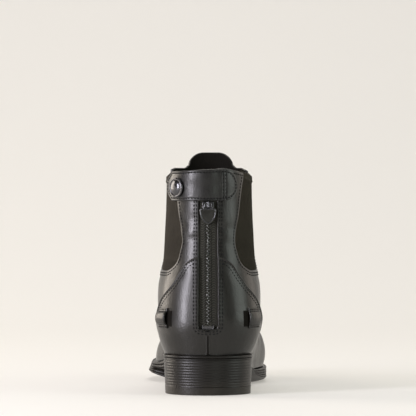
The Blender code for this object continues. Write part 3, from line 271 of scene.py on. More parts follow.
def points_at(distance, run, points):
    """Points at distances along a line, straight between its own points."""
    return np.stack([np.interp(distance, run, column) for column in points.T], axis=-1)


def round_edge(edge, radius):
    """Depth of a rounded edge under its face: radius - sqrt(radius^2 - (radius - edge)^2), 0 beyond the radius."""
    near = np.clip(radius - edge, 0.0, radius)
    return radius - np.sqrt(radius**2 - near**2)


def bell(value, middle, width):
    """Soft hump: exp(-((value - middle) / width)^2)."""
    return np.exp(-((value - middle) / width) ** 2)


def local_width(along):
    """Width that the plan's shares refer to: the heel's behind, the ball's in front."""
    return HEEL_WIDTH + (BALL_WIDTH - HEEL_WIDTH) * ramp(along / SOLE_LENGTH, 0.22, 0.62)


def plan_edge(along, side):
    """Distance from the middle line to the sole's top edge, before its ends are rounded."""
    return curve(PLAN, "medial" if side < 0 else "lateral", along / SOLE_LENGTH) * local_width(along)


def sole_outline(along, side):
    """Place across of the sole's top edge, with round heel and toe."""
    medial, lateral = plan_edge(along, -1.0), plan_edge(along, 1.0)
    ends = rounding(along, HEEL_ROUNDING, 2.0) * rounding(SOLE_LENGTH - along, TOE_ROUNDING, 2.0)
    return (lateral - medial) / 2 + side * (lateral + medial) / 2 * ends


def sole_top(along):
    """Height of the sole's top face: the seat's, less the descent to the tread, plus the toe spring."""
    station = along / SOLE_LENGTH
    descent = curve(SOLE_TOP, "descent", station)
    return SEAT + (TREAD_THICKNESS - SEAT) * descent + TOE_SPRING * curve(SOLE_TOP, "spring", station)


def sole_bottom(along, across):
    """Height of the sole's underside, with its camber under the forefoot."""
    station = along / SOLE_LENGTH
    descent = curve(SOLE_BOTTOM, "descent", station)
    spring = curve(SOLE_BOTTOM, "spring", station)
    camber = curve(CAMBER, "rise", across / BALL_WIDTH) * TREAD_CAMBER
    fade = ramp(station, 0.42, 0.60) * (1 - 0.75 * ramp(station, 0.80, 1.0))
    return HEEL_HEIGHT * (1 - descent) + TOE_SPRING * spring + camber * fade


def back_line(height):
    """Distance forward of the upper's back line at a height."""
    return curve(BACK_LINE, "forward", height / COLLAR_HEIGHT) * COLLAR_DEPTH


def crest_points(count):
    """Points along the crest at even steps, from the toe's foot to the top of the shaft's front."""
    along = CREST_LINE["foot"] * SOLE_LENGTH + CREST_LINE["depth"] * COLLAR_DEPTH
    height = CREST_LINE["instep"] * INSTEP_HEIGHT + CREST_LINE["shaft"] * (COLLAR_HEIGHT - INSTEP_HEIGHT)
    height[0] = sole_top(along[0]) + GAP
    reach = travelled(np.stack([along, height], axis=-1))
    even = np.linspace(0.0, reach[-1], count)
    return smooth(reach, along, even), smooth(reach, height, even)


CREST_ALONG, CREST_HEIGHT = crest_points(420)


def distance_to_line(along, height, line_along, line_height):
    """Distance in side view from points to a line of many short pieces: the least over the pieces."""
    along, height = np.broadcast_arrays(along, height)
    start = np.stack([line_along[:-1], line_height[:-1]], axis=-1)
    run = np.stack([np.diff(line_along), np.diff(line_height)], axis=-1)
    square = (run * run).sum(-1)
    found = []
    for block in np.array_split(np.stack([along.ravel(), height.ravel()], axis=-1), 1 + along.size // 4000):
        away = block[:, None, :] - start
        share = np.clip((away * run).sum(-1) / square, 0.0, 1.0)
        found.append(np.sqrt(((away - share[..., None] * run) ** 2).sum(-1).min(axis=-1)))
    return np.concatenate(found).reshape(along.shape)


def crest_distance(along, height):
    """Distance behind the crest, which runs on straight down at the toe and up at the collar."""
    line_along = np.concatenate([[CREST_ALONG[0]], CREST_ALONG, [CREST_ALONG[-1]]])
    line_height = np.concatenate([[-SOLE_LENGTH], CREST_HEIGHT, [2 * COLLAR_HEIGHT]])
    return distance_to_line(along, height, line_along, line_height)


def back_distance(along, height):
    """Distance in front of the back line."""
    line_height = np.linspace(0.0, 1.3 * COLLAR_HEIGHT, 150)
    return distance_to_line(along, height, back_line(line_height), line_height)


def upper_side(along, height, side):
    """Distance from the middle line to the upper's side: foot width, cup over the feather, ankle and shaft."""
    above = np.clip(height - sole_top(along), 0.0, None)
    foot = plan_edge(along, side) - FEATHER_INSET
    bulge = SIDE_BULGE * np.sin(np.pi * np.clip(above / CUP_RISE, 0.0, 1.0)) ** 0.7
    rise = 1 - (1 - np.clip(above / CUP_RISE, 0.0, 1.0)) ** 2
    forefoot = ramp(along / SOLE_LENGTH, 0.40, 0.62)
    up = height / COLLAR_HEIGHT
    width = ANKLE_WIDTH + (COLLAR_WIDTH - ANKLE_WIDTH) * ramp(up, 0.45, 0.89)
    shaft = curve(SHAFT_WIDTHS, "half", up) * width + side * SHAFT_LEAN
    ankle = shaft * (1 - forefoot) + foot * forefoot
    return foot + (ankle - foot) * rise + bulge * forefoot


def upper_both(along, height):
    """Places across of the upper's outer face on both sides: ridge + (edge - ridge) * ends."""
    medial, lateral = upper_side(along, height, -1.0), upper_side(along, height, 1.0)
    station = along / SOLE_LENGTH
    crest_away, back_away = crest_distance(along, height), back_distance(along, height)
    back_reach = curve(BACK_ROUNDING, "reach", height / COLLAR_HEIGHT) * COLLAR_DEPTH
    instep = ramp(station, 0.42, 0.55) * (1 - ramp(station, 0.75, 0.92))
    ridge = (lateral - medial) / 2 * ramp(station, 0.42, 0.60) - CREST_SHIFT * instep
    found = []
    for edge, column in ((-medial, "medial"), (lateral, "lateral")):
        reach = curve(CREST_ROUNDING, column, station) * COLLAR_DEPTH
        found.append(ridge + (edge - ridge) * rounding(crest_away, reach) * rounding(back_away, back_reach))
    return found


def creases(along, height, side):
    """Depth of the creases: for each, depth * exp(-(off/width)^2 - (on/(length/2))^4), turned by its slant.

    A slow wave, 0.06 of the crease's length, bends its line.
    """
    depth = np.zeros(np.broadcast(along, height).shape)
    for middle_along, middle_height, slant, length, width, deep, only in zip(*CREASES.values()):
        cosine, sine = math.cos(math.radians(slant)), math.sin(math.radians(slant))
        on = (along - middle_along) * cosine + (height - middle_height) * sine
        off = (height - middle_height) * cosine - (along - middle_along) * sine
        off = off + 0.06 * length * np.sin(2.6 * np.pi * on / length + 40000 * deep)
        here = np.exp(-(off / width) ** 2 - (2 * on / length) ** 4)
        depth += deep * here * (1.0 if only == 0 else (np.sign(side) == only))
    return depth


def place(across, along, height):
    """Points of the boot's frame from places across, along and up."""
    across, along, height = np.broadcast_arrays(across, along, height)
    return np.stack([across, along - HEEL_LENGTH / 2, height], axis=-1)


def along_at(turn, height):
    """Distance forward of a turn on the shaft: back line + depth (1 - cos turn) / 2."""
    return back_line(height) + COLLAR_DEPTH * (1 - np.cos(turn)) / 2


def shaft_form(turn, height):
    """Point of the outer face at a height, turned from the back line to either side."""
    along = along_at(turn, height)
    medial, lateral = upper_both(along, height)
    return place(np.where(turn < 0, medial, lateral), along, height)


def shaft_frame(turn, height):
    """Creased point of the outer face, the two directions of its surface, and its normal."""
    step = 2e-4
    turn, height = np.broadcast_arrays(turn, height)
    around = (shaft_form(turn + step, height) - shaft_form(turn - step, height)) / (2 * step)
    upward = (shaft_form(turn, height + step) - shaft_form(turn, height - step)) / (2 * step)
    normal = unit(np.cross(around, upward))
    point = shaft_form(turn, height)
    depth = creases(point[..., 1] + HEEL_LENGTH / 2, height, np.sign(turn))
    return point - normal * depth[..., None], around, upward, normal


def turn_at(along, height, side):
    """Turn on the shaft of a distance forward: arccos(1 - 2 (along - back line) / depth)."""
    return side * np.arccos(np.clip(1 - 2 * (along - back_line(height)) / COLLAR_DEPTH, -1.0, 1.0))


def turn_across(across, height):
    """Turn on the shaft's back of a place across, by halving."""
    side = np.where(across < 0, -1.0, 1.0)
    low, high = np.zeros(np.broadcast(across, height).shape), np.full(np.broadcast(across, height).shape, 1.6)
    for _ in range(26):
        middle = (low + high) / 2
        inside = np.abs(shaft_form(side * middle, height + 0 * middle)[..., 0]) < np.abs(across)
        low, high = np.where(inside, middle, low), np.where(inside, high, middle)
    return side * (low + high) / 2


def facing(points, faces, centre=0.0):
    """Four-sided faces, all turned over where their area vectors sum to point inwards from a centre."""
    corner = points[faces]
    area = np.cross(corner[:, 2] - corner[:, 0], corner[:, 3] - corner[:, 1])
    away = corner.mean(axis=1) - np.asarray(centre)
    return faces[:, ::-1] if (area * away).sum() < 0 else faces


def grid_faces(number):
    """Faces of a grid of point numbers, row by row."""
    return np.stack([number[:-1, :-1], number[:-1, 1:], number[1:, 1:], number[1:, :-1]], axis=-1).reshape(-1, 4)


def quads(rows, columns, closed=False):
    """Faces of a grid of points; closed joins the last column to the first."""
    number = np.arange(rows * columns).reshape(rows, columns)
    return grid_faces(np.concatenate([number, number[:, :1]], axis=1) if closed else number)


def show(name, data):
    """Object of the given data, put in the scene."""
    thing = bpy.data.objects.new(name, data)
    bpy.context.scene.collection.objects.link(thing)
    return thing


def piece(name, points, faces, material, slot, body="boot", stands_for=(), uv=None, sharp=50.0):
    """Mesh object of the boot from points, faces and a place in UV for each point."""
    used, faces = np.unique(np.asarray(faces), return_inverse=True)
    faces = faces.reshape(-1, 4)
    points = np.asarray(points).reshape(-1, 3)[used]
    mesh = bpy.data.meshes.new(name)
    mesh.from_pydata(points.tolist(), [], faces.tolist())
    if uv is not None:
        layer = mesh.uv_layers.new(name="UVMap")
        flat = np.asarray(uv).reshape(-1, 2)[used][faces.ravel()]
        layer.data.foreach_set("uv", flat.ravel().astype(np.float32))
    mesh.validate(clean_customdata=False)
    mesh.shade_smooth()
    mesh.set_sharp_from_angle(angle=math.radians(sharp))
    mesh.materials.append(material)
    thing = show(name, mesh)
    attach(thing, body)
    if stands_for:
        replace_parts(thing, *stands_for)
    return thing


def ring_normals(points):
    """Outward unit normals of a grid of points that closes round the boot."""
    around = np.roll(points, -1, axis=1) - np.roll(points, 1, axis=1)
    normal = unit(np.cross(around, np.gradient(points, axis=0)))
    middle = np.array([0.0, COLLAR_DEPTH / 2 + back_line(COLLAR_HEIGHT) - HEEL_LENGTH / 2, 0.0])
    return normal * np.sign((normal * (points - middle) * LEVEL).sum())


def rolled(points, normals, faces, thickness, bulge, keep_open, steps=5):
    """Points and faces of a skin with a half-round folded edge along its border.

    Ring k of the fold is the border moved out along the surface by bulge sin a and in along the normal by
    thickness (1 - cos a) / 2, a from 0 to pi. Border edges between two points of keep_open stay as they are.
    """
    edges = np.concatenate([faces[:, [k, (k + 1) % 4]] for k in range(4)])
    middle = np.tile(points[faces].mean(axis=1), (4, 1))
    total = len(points)
    border = ~np.isin(edges[:, 0] * total + edges[:, 1], edges[:, 1] * total + edges[:, 0])
    border &= ~(keep_open[edges[:, 0]] & keep_open[edges[:, 1]])
    edges, middle = edges[border], middle[border]
    run = unit(points[edges[:, 1]] - points[edges[:, 0]])
    away = points[edges].mean(axis=1) - middle
    away = unit(away - run * (away * run).sum(-1, keepdims=True))
    out = np.zeros_like(points)
    for end in (0, 1):
        np.add.at(out, edges[:, end], away)
    rim = np.unique(edges)
    out, normal = out[rim], normals[rim]
    out = unit(out - normal * (out * normal).sum(-1, keepdims=True))
    rings, number = [points], [np.arange(total)]
    for step in range(1, steps + 1):
        angle = np.pi * step / steps
        rings.append(points[rim] + out * bulge * math.sin(angle) - normal * thickness * (1 - math.cos(angle)) / 2)
        ring = np.full(total, -1)
        ring[rim] = total + (step - 1) * len(rim) + np.arange(len(rim))
        number.append(ring)
    a, b = edges.T
    strips = [np.stack([first[b], first[a], second[a], second[b]], axis=-1)
              for first, second in zip(number, number[1:])]
    return np.concatenate(rings), np.concatenate([faces, *strips])


def slab(outer, inner):
    """Closed solid between two grids of the same rows and columns."""
    rows, columns = outer.shape[:2]
    total = rows * columns
    number = np.arange(total).reshape(rows, columns)
    rim = np.concatenate([number[0, :-1], number[:-1, -1], number[-1, :0:-1], number[:0:-1, 0]])
    after = np.roll(rim, -1)
    front = grid_faces(number)
    sides = np.stack([after, rim, rim + total, after + total], axis=-1)
    points = np.concatenate([outer.reshape(-1, 3), inner.reshape(-1, 3)])
    return points, facing(points, np.concatenate([front, front[:, ::-1] + total, sides]))


def barrel(grid):
    """Closed solid of rings of points, with strips of quads across both ends."""
    rings, sides = grid.shape[:2]
    step = np.arange(sides // 2 - 1)
    strip = np.stack([step, step + 1, sides - 2 - step, sides - 1 - step], axis=-1)
    points = grid.reshape(-1, 3)
    return points, facing(points, np.concatenate([quads(rings, sides, True), strip, strip + (rings - 1) * sides]))


def tube(line, radius, sides=12):
    """Round bar along a line in three dimensions: centre + radius (cos a U + sin a V)."""
    ahead = unit(np.gradient(line, axis=0))
    aside = unit(np.cross(ahead, (0.31, 0.27, 0.91)))[:, None]
    other = np.cross(ahead[:, None], aside)
    angle = np.arange(sides)[:, None] * 2 * np.pi / sides
    return barrel(line[:, None] + radius * (np.cos(angle) * aside + np.sin(angle) * other))


def collar_top(across, front):
    """Height of the collar's edge at a place across: level at the back, a round peak at the front."""
    half = COLLAR_WIDTH / 2
    back = GORE_TOP + 0.0016 + curve(COLLAR_BACK, "up", across / half)
    off = np.abs(across - PEAK_OFFSET) - PEAK_WIDTH / 2
    peak = PEAK_RISE - round_edge(-off, PEAK_CORNER)
    foot = round_edge(off, PEAK_CORNER * 0.35)
    slope = np.interp(np.abs(across), [0.40 * COLLAR_WIDTH, 0.46 * COLLAR_WIDTH, half], [0.0, -0.002, -0.0061])
    return np.where(front, COLLAR_HEIGHT + 0.0008 + np.where(off < 0, peak, foot) + slope, back)


def gore_edge(height, column):
    """Place along of the gore window's rear or front edge, its lower corners rounded."""
    edge = curve(GORE_EDGES, column, (height - GORE_BOTTOM) / GORE_HEIGHT) * COLLAR_DEPTH
    corner = round_edge(height - GORE_BOTTOM, GORE_CORNER)
    return edge + corner if column == "rear" else edge - corner


def zip_half(height):
    """Half width of the zip's opening at a height, its lower corners rounded."""
    return ZIP_OPENING / 2 - round_edge(height - ZIP_BOTTOM, ZIP_CORNER)


def upper_grid(columns, foot_rows, shaft_rows, knots):
    """Grid of the upper's outer face, its columns on the edges of zip and gores and its rows on their ends.

    Rows below the gores run from the back line to the crest of the foot and settle on the sole's top; rows
    above are level. Gives the points and the rows of the zip's and of the gores' lower end.
    """
    foot = SEAT + GAP
    tall = GORE_BOTTOM - foot
    zip_share = (ZIP_BOTTOM - foot) / tall
    corner = zip_share + ZIP_CORNER / tall * (1 - np.cos(np.linspace(0.0, np.pi / 2, 7)))
    low = np.linspace(0.0, zip_share, foot_rows // 3, endpoint=False)
    shares = np.concatenate([low, corner, np.linspace(corner[-1], 1.0, foot_rows - foot_rows // 3 - 6)[1:]])
    steps = np.arange(len(CREST_ALONG))
    crest_index = shares * np.interp(GORE_BOTTOM, CREST_HEIGHT, steps)
    crest_a, crest_h = np.interp(crest_index, steps, CREST_ALONG), np.interp(crest_index, steps, CREST_HEIGHT)
    back_h = foot + tall * shares
    column = np.arange(columns + 1)
    knot_columns = np.array([0, *knots, columns])

    def row_turns(height, crest_along, side, gore_part, zip_part):
        """Turn of every column in each row: straight between the turns of zip edge, gore edges and crest."""
        back = back_line(height)
        window = np.maximum(height, GORE_BOTTOM)
        zip_turn = turn_across(side * zip_half(np.maximum(height, ZIP_BOTTOM)), height)
        edges = along_at(zip_turn, height), gore_edge(window, "rear"), gore_edge(window, "front")
        anchors = [0 * height]
        for edge, knot, part in zip(edges, knots, (zip_part, gore_part, gore_part)):
            plain = np.pi * knot / columns
            turn = np.arccos(np.clip(1 - 2 * (edge - back) / (crest_along - back), -1, 1))
            anchors.append(plain + (turn - plain) * part)
        anchors = np.stack([*anchors, 0 * height + np.pi], axis=-1)
        return np.stack([np.interp(column, knot_columns, row) for row in anchors])

    def side_points(side):
        """Points of one side, from the feather to the collar."""
        gore_part, zip_part = ramp(shares, 0.45, 1.0), ramp(shares, 0.35 * zip_share, zip_share)
        share = (1 - np.cos(row_turns(back_h, crest_a, side, gore_part, zip_part))) / 2
        back = back_line(back_h)
        along = back[:, None] + (crest_a - back)[:, None] * share
        straight = foot + (CREST_HEIGHT[0] - foot) * share
        settle = np.clip(1 - shares / 0.55, 0.0, 1.0)[:, None] ** 2
        height = back_h[:, None] + (crest_h - back_h)[:, None] * share
        height += (sole_top(along) + side_drop(along, side) + GAP - straight) * settle
        lows = GORE_BOTTOM + GORE_CORNER * (1 - np.cos(np.linspace(0.0, np.pi / 2, 9)[1:, None]))
        rise = np.linspace(0.0, 1.0, shaft_rows - 7)[1:, None]
        in_gore = (column > knots[1]) & (column < knots[2])
        top = np.full(columns + 1, COLLAR_HEIGHT)
        for _ in range(3):
            heights = np.concatenate([lows + 0 * top, lows[-1] + (top - lows[-1]) * rise])
            level = heights[:, knots[2]]
            crest = np.interp(level, CREST_HEIGHT, CREST_ALONG)
            part = (1 - np.cos(row_turns(np.minimum(level, GORE_TOP), crest, side, 1.0, 1.0))) / 2
            back = back_line(heights)
            shaft = back + (np.interp(heights, CREST_HEIGHT, CREST_ALONG) - back) * part
            edge = upper_both(shaft[-1], heights[-1])[int(side > 0)]
            top = np.where(in_gore, GORE_TOP, collar_top(edge, column > (knots[1] + knots[2]) / 2))
        along, height = np.concatenate([along, shaft]), np.concatenate([height, heights])
        return place(upper_both(along, height)[int(side > 0)], along, height)

    points = np.concatenate([side_points(-1.0), side_points(1.0)[:, -2:0:-1]], axis=1)
    return points, len(low), len(shares) - 1


def upper_skin(columns, foot_rows, shaft_rows, knots, inward):
    """Skin of the upper with its openings left out: points, outward normals, faces and the feather's points."""
    points, zip_row, gore_row = upper_grid(columns, foot_rows, shaft_rows, knots)
    rows, around = points.shape[:2]
    normals = ring_normals(points)
    side = np.where(np.arange(around) <= columns, -1.0, 1.0)
    depth = creases(points[..., 1] + HEEL_LENGTH / 2, points[..., 2], side) + inward
    depth[0] = inward
    points = (points - normals * depth[..., None]).reshape(-1, 3)
    row, column = np.indices((rows - 1, around)).reshape(2, -1)
    turned = np.where(column < columns, column, 2 * columns - 1 - column)
    gone = (row >= zip_row) & (turned < knots[0])
    gone |= (row >= gore_row) & (turned >= knots[1]) & (turned < knots[2])
    feather = np.repeat(np.arange(rows) == 0, around)
    middle = (0.0, COLLAR_DEPTH / 2 - HEEL_LENGTH / 2, COLLAR_HEIGHT / 3)
    return points, normals.reshape(-1, 3), facing(points, quads(rows, around, True)[~gone], middle), feather


class Look:
    """Procedural material, put together node by node."""

    def __init__(self, name, colour, roughness, **values):
        """Material of one colour and roughness, other values of its shader, and a place to read from."""
        self.material = bpy.data.materials.new(name)
        self.material.use_nodes = True
        self.tree = self.material.node_tree
        self.shader = self.tree.nodes["Principled BSDF"]
        self.colour, self.normal = colour, None
        for key, value in {"Base Color": (*colour, 1.0), "Roughness": roughness, **values}.items():
            self.shader.inputs[key.replace("_", " ")].default_value = value
        self.place = self.tree.nodes.new("ShaderNodeTexCoord").outputs

    def node(self, kind, inputs, **settings):
        """Node of a kind with its settings; an input is a value or another node's output."""
        node = self.tree.nodes.new("ShaderNode" + kind)
        for key, value in settings.items():
            setattr(node, key, value)
        for key, value in inputs.items():
            if isinstance(value, bpy.types.NodeSocket):
                self.tree.links.new(value, node.inputs[key])
            else:
                node.inputs[key].default_value = value
        return node

    def noise(self, scale, detail, where="Object", distortion=0.0):
        """Noise at a scale per metre."""
        return self.node("TexNoise", {"Vector": self.place[where], "Scale": scale, "Detail": detail,
                                      "Distortion": distortion}).outputs["Fac"]

    def math(self, operation, *values):
        """Value worked out from others."""
        return self.node("Math", dict(enumerate(values)), operation=operation).outputs[0]

    def span(self, value, low, high, to_low, to_high):
        """Value carried from one range to another, and held at its ends."""
        return self.node("MapRange", {"Value": value, "From Min": low, "From Max": high,
                                      "To Min": to_low, "To Max": to_high}).outputs["Result"]

    def bump(self, height, strength, distance):
        """Bump on top of the bumps made before."""
        inputs = {"Height": height, "Strength": strength, "Distance": distance}
        if self.normal:
            inputs["Normal"] = self.normal
        self.normal = self.node("Bump", inputs).outputs["Normal"]
        self.tree.links.new(self.normal, self.shader.inputs["Normal"])

    def vary(self, key, value):
        """Lets a node's output steer a value of the shader."""
        self.tree.links.new(value, self.shader.inputs[key])

    def tint(self, share, other):
        """Colour that goes over to another by a share."""
        inputs = {0: share, 6: (*self.colour, 1.0), 7: (*other, 1.0)}
        self.vary("Base Color", self.node("Mix", inputs, data_type="RGBA").outputs[2])


def leather_material(name, colour, worn, roughness, grain=1.0, coat=0.16, specular=0.33):
    """Waxed leather: small pebbled grain and soft waves in bump, roughness that drifts, a worn tint on the waves."""
    look = Look(name, colour, roughness, Coat_Weight=coat, Coat_Roughness=0.22, Specular_IOR_Level=specular)
    pebble = look.node("TexVoronoi", {"Vector": look.place["Object"], "Scale": 1150.0}, feature="SMOOTH_F1")
    wave = look.noise(75.0, 4.0, distortion=0.4)
    look.bump(pebble.outputs["Distance"], 0.22 * grain, 0.00035)
    look.bump(look.noise(900.0, 3.0), 0.16 * grain, 0.0003)
    look.bump(wave, 0.50, 0.0012)
    look.vary("Roughness", look.span(look.noise(24.0, 3.0), 0.3, 0.7, roughness - 0.05, roughness + 0.07))
    look.tint(look.span(wave, 0.35, 0.75, 0.0, 0.6), worn)
    return look.material


def cloth_material(name, colour, light, across, along, roughness=0.85):
    """Woven cloth on the piece's own UV, in metres: waves across and along give the ribs or the herringbone."""
    look = Look(name, colour, roughness, Specular_IOR_Level=0.25)
    split = look.node("SeparateXYZ", {"Vector": look.place["UV"]}).outputs
    chevron = look.math("SINE", look.math("MULTIPLY", split["X"], 2 * math.pi / across[0]))
    rise = look.math("MULTIPLY_ADD", split["Y"], 2 * math.pi / along, look.math("MULTIPLY", chevron, across[1]))
    both = look.math("MULTIPLY_ADD", look.math("SINE", rise), 0.5, look.noise(1800.0, 2.0, "UV"))
    look.bump(both, 0.7, 0.00025)
    look.tint(look.span(both, 0.0, 1.0, 0.0, 1.0), light)
    return look.material


def metal_material(name, colour, roughness):
    """Dark plated metal, faintly clouded."""
    look = Look(name, colour, roughness, Metallic=0.95)
    cloud = look.noise(260.0, 4.0)
    look.vary("Roughness", look.span(cloud, 0.3, 0.7, roughness - 0.06, roughness + 0.1))
    look.bump(cloud, 0.12, 0.0002)
    return look.material


def rubber_material(name, colour, floor_reflection_tint, roughness):
    """Moulded rubber: matt, with a fine grain and a painted reflection of the floor in its lowest 12 mm: a lighter warm
    tint, mottled by noise.
    """
    look = Look(name, colour, roughness, Specular_IOR_Level=0.26)
    up = look.node("SeparateXYZ", {"Vector": look.place["Object"]}).outputs["Z"]
    # Painted reflection of the floor: the colour goes over to a lighter warm tint towards the bottom, mottled by noise.
    look.tint(look.math("MULTIPLY", look.span(up, 0.0, 0.012, 0.8, 0.0), look.noise(60.0, 5.0)), floor_reflection_tint)
    look.bump(look.noise(900.0, 3.0), 0.25, 0.0003)
    return look.material


LEATHER = leather_material("black_leather", (0.0062, 0.0054, 0.0042), (0.0105, 0.0092, 0.0072), 0.33)
STRAP = leather_material("strap_leather", (0.0060, 0.0056, 0.0052), (0.0095, 0.0090, 0.0084), 0.31)
ELASTIC = cloth_material("gore_elastic", (0.013, 0.0105, 0.0072), (0.033, 0.0275, 0.0178), (0.0021, 0.0), 0.0008)
TAPE = cloth_material("zip_tape_cloth", (0.004, 0.004, 0.0032), (0.042, 0.041, 0.032), (0.0060, 3.0), 0.0018)
LINING = leather_material("lining_leather", (0.0045, 0.0036, 0.0025), (0.007, 0.0058, 0.0042), 0.80, 0.5, 0.0, 0.10)
METAL = metal_material("dark_metal", (0.085, 0.085, 0.090), 0.22)
TEETH = metal_material("zip_teeth", (0.050, 0.049, 0.045), 0.34)
COIL = metal_material("zip_coil_gloss", (0.17, 0.17, 0.165), 0.24)
# The rubber's second colour is the painted reflection of the floor on its lowest 12 mm.
RUBBER = rubber_material("sole_rubber", (0.0065, 0.0055, 0.0044), (0.040, 0.034, 0.026), 0.36)
THREAD = cloth_material("black_thread", (0.0025, 0.0025, 0.0025), (0.007, 0.007, 0.007), (0.0008, 0.0), 0.0006, 0.9)


def make_upper():
    """Leather skin of the upper with folded edges at collar, gores and zip, and the lining inside it."""
    points, normals, faces, feather = upper_skin(165, 146, 70, (7, 42, 118), 0.0)
    points, faces = rolled(points, normals, faces, WALL, 0.0005, feather)
    piece("upper_leather", points, faces, LEATHER, "leather", stands_for=("upper",))
    points, _, faces, _ = upper_skin(84, 60, 34, (5, 22, 60), WALL + 0.0001)
    piece("upper_lining", points, faces[:, ::-1], LINING, "lining")


def counter_seam(along):
    """Height of the counter's top seam at a distance forward."""
    return curve(COUNTER_SEAM, "up", along / COUNTER_REACH) * COUNTER_HEIGHT


def seam_height(turn):
    """Height at which a turn meets the counter's top seam: h = seam(back line(h) + depth (1 - cos turn) / 2)."""
    height = np.full(np.shape(turn), 0.6 * COUNTER_HEIGHT)
    for _ in range(30):
        height = 0.5 * height + 0.5 * counter_seam(along_at(turn, height))
    return height


def make_counter():
    """Outside counter: a skin over the upper's form from the feather to its seam, with folded and beaded edges."""
    columns, knot, rows, low_rows = 120, 9, 100, 24
    end = float(turn_at(COUNTER_REACH, 0.026, 1.0))
    number = np.arange(-columns, columns + 1)

    def foot_and_top(turn):
        """Heights of the counter's lower and upper edge."""
        along = along_at(turn, 0.03)
        return sole_top(along) + side_drop(along, turn) + GAP, seam_height(turn)

    foot, top = foot_and_top(end * number / columns)
    slot = (ZIP_BOTTOM - foot[columns]) / (top[columns] - foot[columns])
    corner = slot + ZIP_CORNER / (top[columns] - foot[columns]) * (1 - np.cos(np.linspace(0, np.pi / 2, 6)))
    rest = 1 - (1 - np.linspace(0, 1, rows - low_rows - 5)[1:]) ** 1.5
    shares = np.concatenate([np.linspace(0, slot, low_rows, endpoint=False), corner,
                             corner[-1] + (1 - corner[-1]) * rest])
    level = (foot + (top - foot) * shares[:, None])[:, columns]
    turn = np.empty((len(shares), len(number)))
    part = ramp(shares, 0.3 * slot, slot)
    for side in (-1.0, 1.0):
        edge = turn_across(side * zip_half(np.maximum(level, ZIP_BOTTOM)), level)
        edge = np.abs(side * end * knot / columns * (1 - part) + edge * part)
        here = number * side >= 0
        turn[:, here] = [side * np.interp(np.abs(number[here]), [0, knot, columns], [0, e, end]) for e in edge]
    foot, top = foot_and_top(turn)
    height = foot + (top - foot) * shares[:, None]
    point, _, _, normal = shaft_frame(turn + 1e-9, height)
    normal *= np.sign((normal * (point - FORM_MIDDLE) * LEVEL).sum())
    point = point + normal * (COUNTER_FACE + COUNTER_BEAD * bell(height, top, 0.0009))[..., None]
    flat = point.reshape(-1, 3)
    row, column = np.indices((len(shares) - 1, 2 * columns)).reshape(2, -1)
    gone = (row >= low_rows) & (np.abs(column - columns + 0.5) < knot)
    faces = facing(flat, quads(*point.shape[:2])[~gone], FORM_MIDDLE)
    feather = np.repeat(np.arange(len(shares)) == 0, len(number))
    points, faces = rolled(flat, normal.reshape(-1, 3), faces, COUNTER_FACE + 0.0003, 0.0004, feather, 4)
    piece("counter_leather", points, faces, LEATHER, "leather", stands_for=("counter",))


def lift(turn, height, distance):
    """Point at a distance outside the creased form, and its outward normal."""
    point, _, _, normal = shaft_frame(turn, height)
    normal = normal * np.sign((normal * (point - FORM_MIDDLE) * LEVEL).sum(-1, keepdims=True))
    return point + normal * np.asarray(distance)[..., None], normal


def back_lift(across, height, distance):
    """Point outside the form's back at a place across, and its outward normal."""
    return lift(turn_across(across, height), height, distance)


def gore_top(share):
    """Height of the elastic's upper edge: it sags between its two ends, as the square of the way from its middle."""
    return GORE_TOP - 0.0008 + GORE_SAG * (2 * share - 1) ** 2


def make_gore(name, side):
    """Elastic gore: vertical ribs 0.22 mm deep every 1.05 mm behind its window, with a hem along its top."""
    share = np.linspace(0.0, 1.0, 330)
    top, foot = gore_top(share), GORE_BOTTOM - 0.002
    height = foot + (top - foot) * np.linspace(0.0, 1.0, 60)[:, None]
    window = np.clip(height, GORE_BOTTOM + GORE_CORNER, GORE_TOP)
    rear, front = gore_edge(window, "rear") - 0.002, gore_edge(window, "front") + 0.002
    along = rear + (front - rear) * share
    up = height - top + GORE_HEM
    hem = ramp(up, 0.0, 0.0004) + 0.9 * bell(up, 0.0004, 0.0004)
    ribs = RIB_DEPTH * np.sin(2 * np.pi * along / RIB_PITCH) * (1 - 0.6 * hem)
    outer, normal = lift(turn_at(along, height, side), height, ribs - GORE_RECESS - 0.0003 + 0.0005 * hem)
    uv = np.stack([along, height], axis=-1).reshape(-1, 2)
    piece(name + "_elastic", *slab(outer, outer - normal * ELASTIC_THICKNESS), ELASTIC, "elastic", stands_for=(name,),
          uv=np.concatenate([uv, uv]))


def threads(name, lines, material, slot, radius=0.00042, pitch=PITCH, gap=0.0006, arch=0.00025):
    """Rows of stitches as one mesh. Each line is points and normals; a stitch is a thread from s to s + pitch - gap.

    Its middle stands arch above the line, its ends dip under it: rise = arch (1 - (2a - 1)^2) - 0.6 radius, and its
    radius is radius sqrt(1 - 0.9 (2a - 1)^4), for a from 0 to 1.
    """
    share = np.linspace(0.0, 1.0, 7)
    angle = np.arange(6)[:, None] * np.pi / 3
    rings, sides = len(share), len(angle)
    caps = np.array([(3, 2, 1, 0), (0, 5, 4, 3), (0, 1, 2, 3), (3, 4, 5, 0)])
    caps[2:] += (rings - 1) * sides
    single = np.concatenate([quads(rings, sides, True), caps])
    ends = (2 * share - 1) ** 2
    rise, thick = arch * (1 - ends) - 0.6 * radius, radius * np.sqrt(1 - 0.9 * ends**2)
    points, faces, count = [], [], 0
    for line, normal in lines:
        run = travelled(line)
        stitches = max(1, int(run[-1] / pitch))
        length = run[-1] / stitches
        at = ((np.arange(stitches) + 0.5 * gap / pitch) * length)[:, None] + (length - gap) * share
        centre, up = points_at(at, run, line), unit(points_at(at, run, normal))
        beside = np.cross(up, unit(np.gradient(centre, axis=1)))
        centre = centre + up * rise[:, None]
        ring = np.cos(angle) * beside[..., None, :] + np.sin(angle) * up[..., None, :]
        points.append((centre[..., None, :] + ring * thick[:, None, None]).reshape(-1, 3))
        base = count + np.arange(stitches) * rings * sides
        faces.append((single + base[:, None, None]).reshape(-1, 4))
        count += stitches * rings * sides
    points = np.concatenate(points)
    return piece(name, points, facing(points, np.concatenate(faces)), material, slot, uv=points[:, [0, 2]])


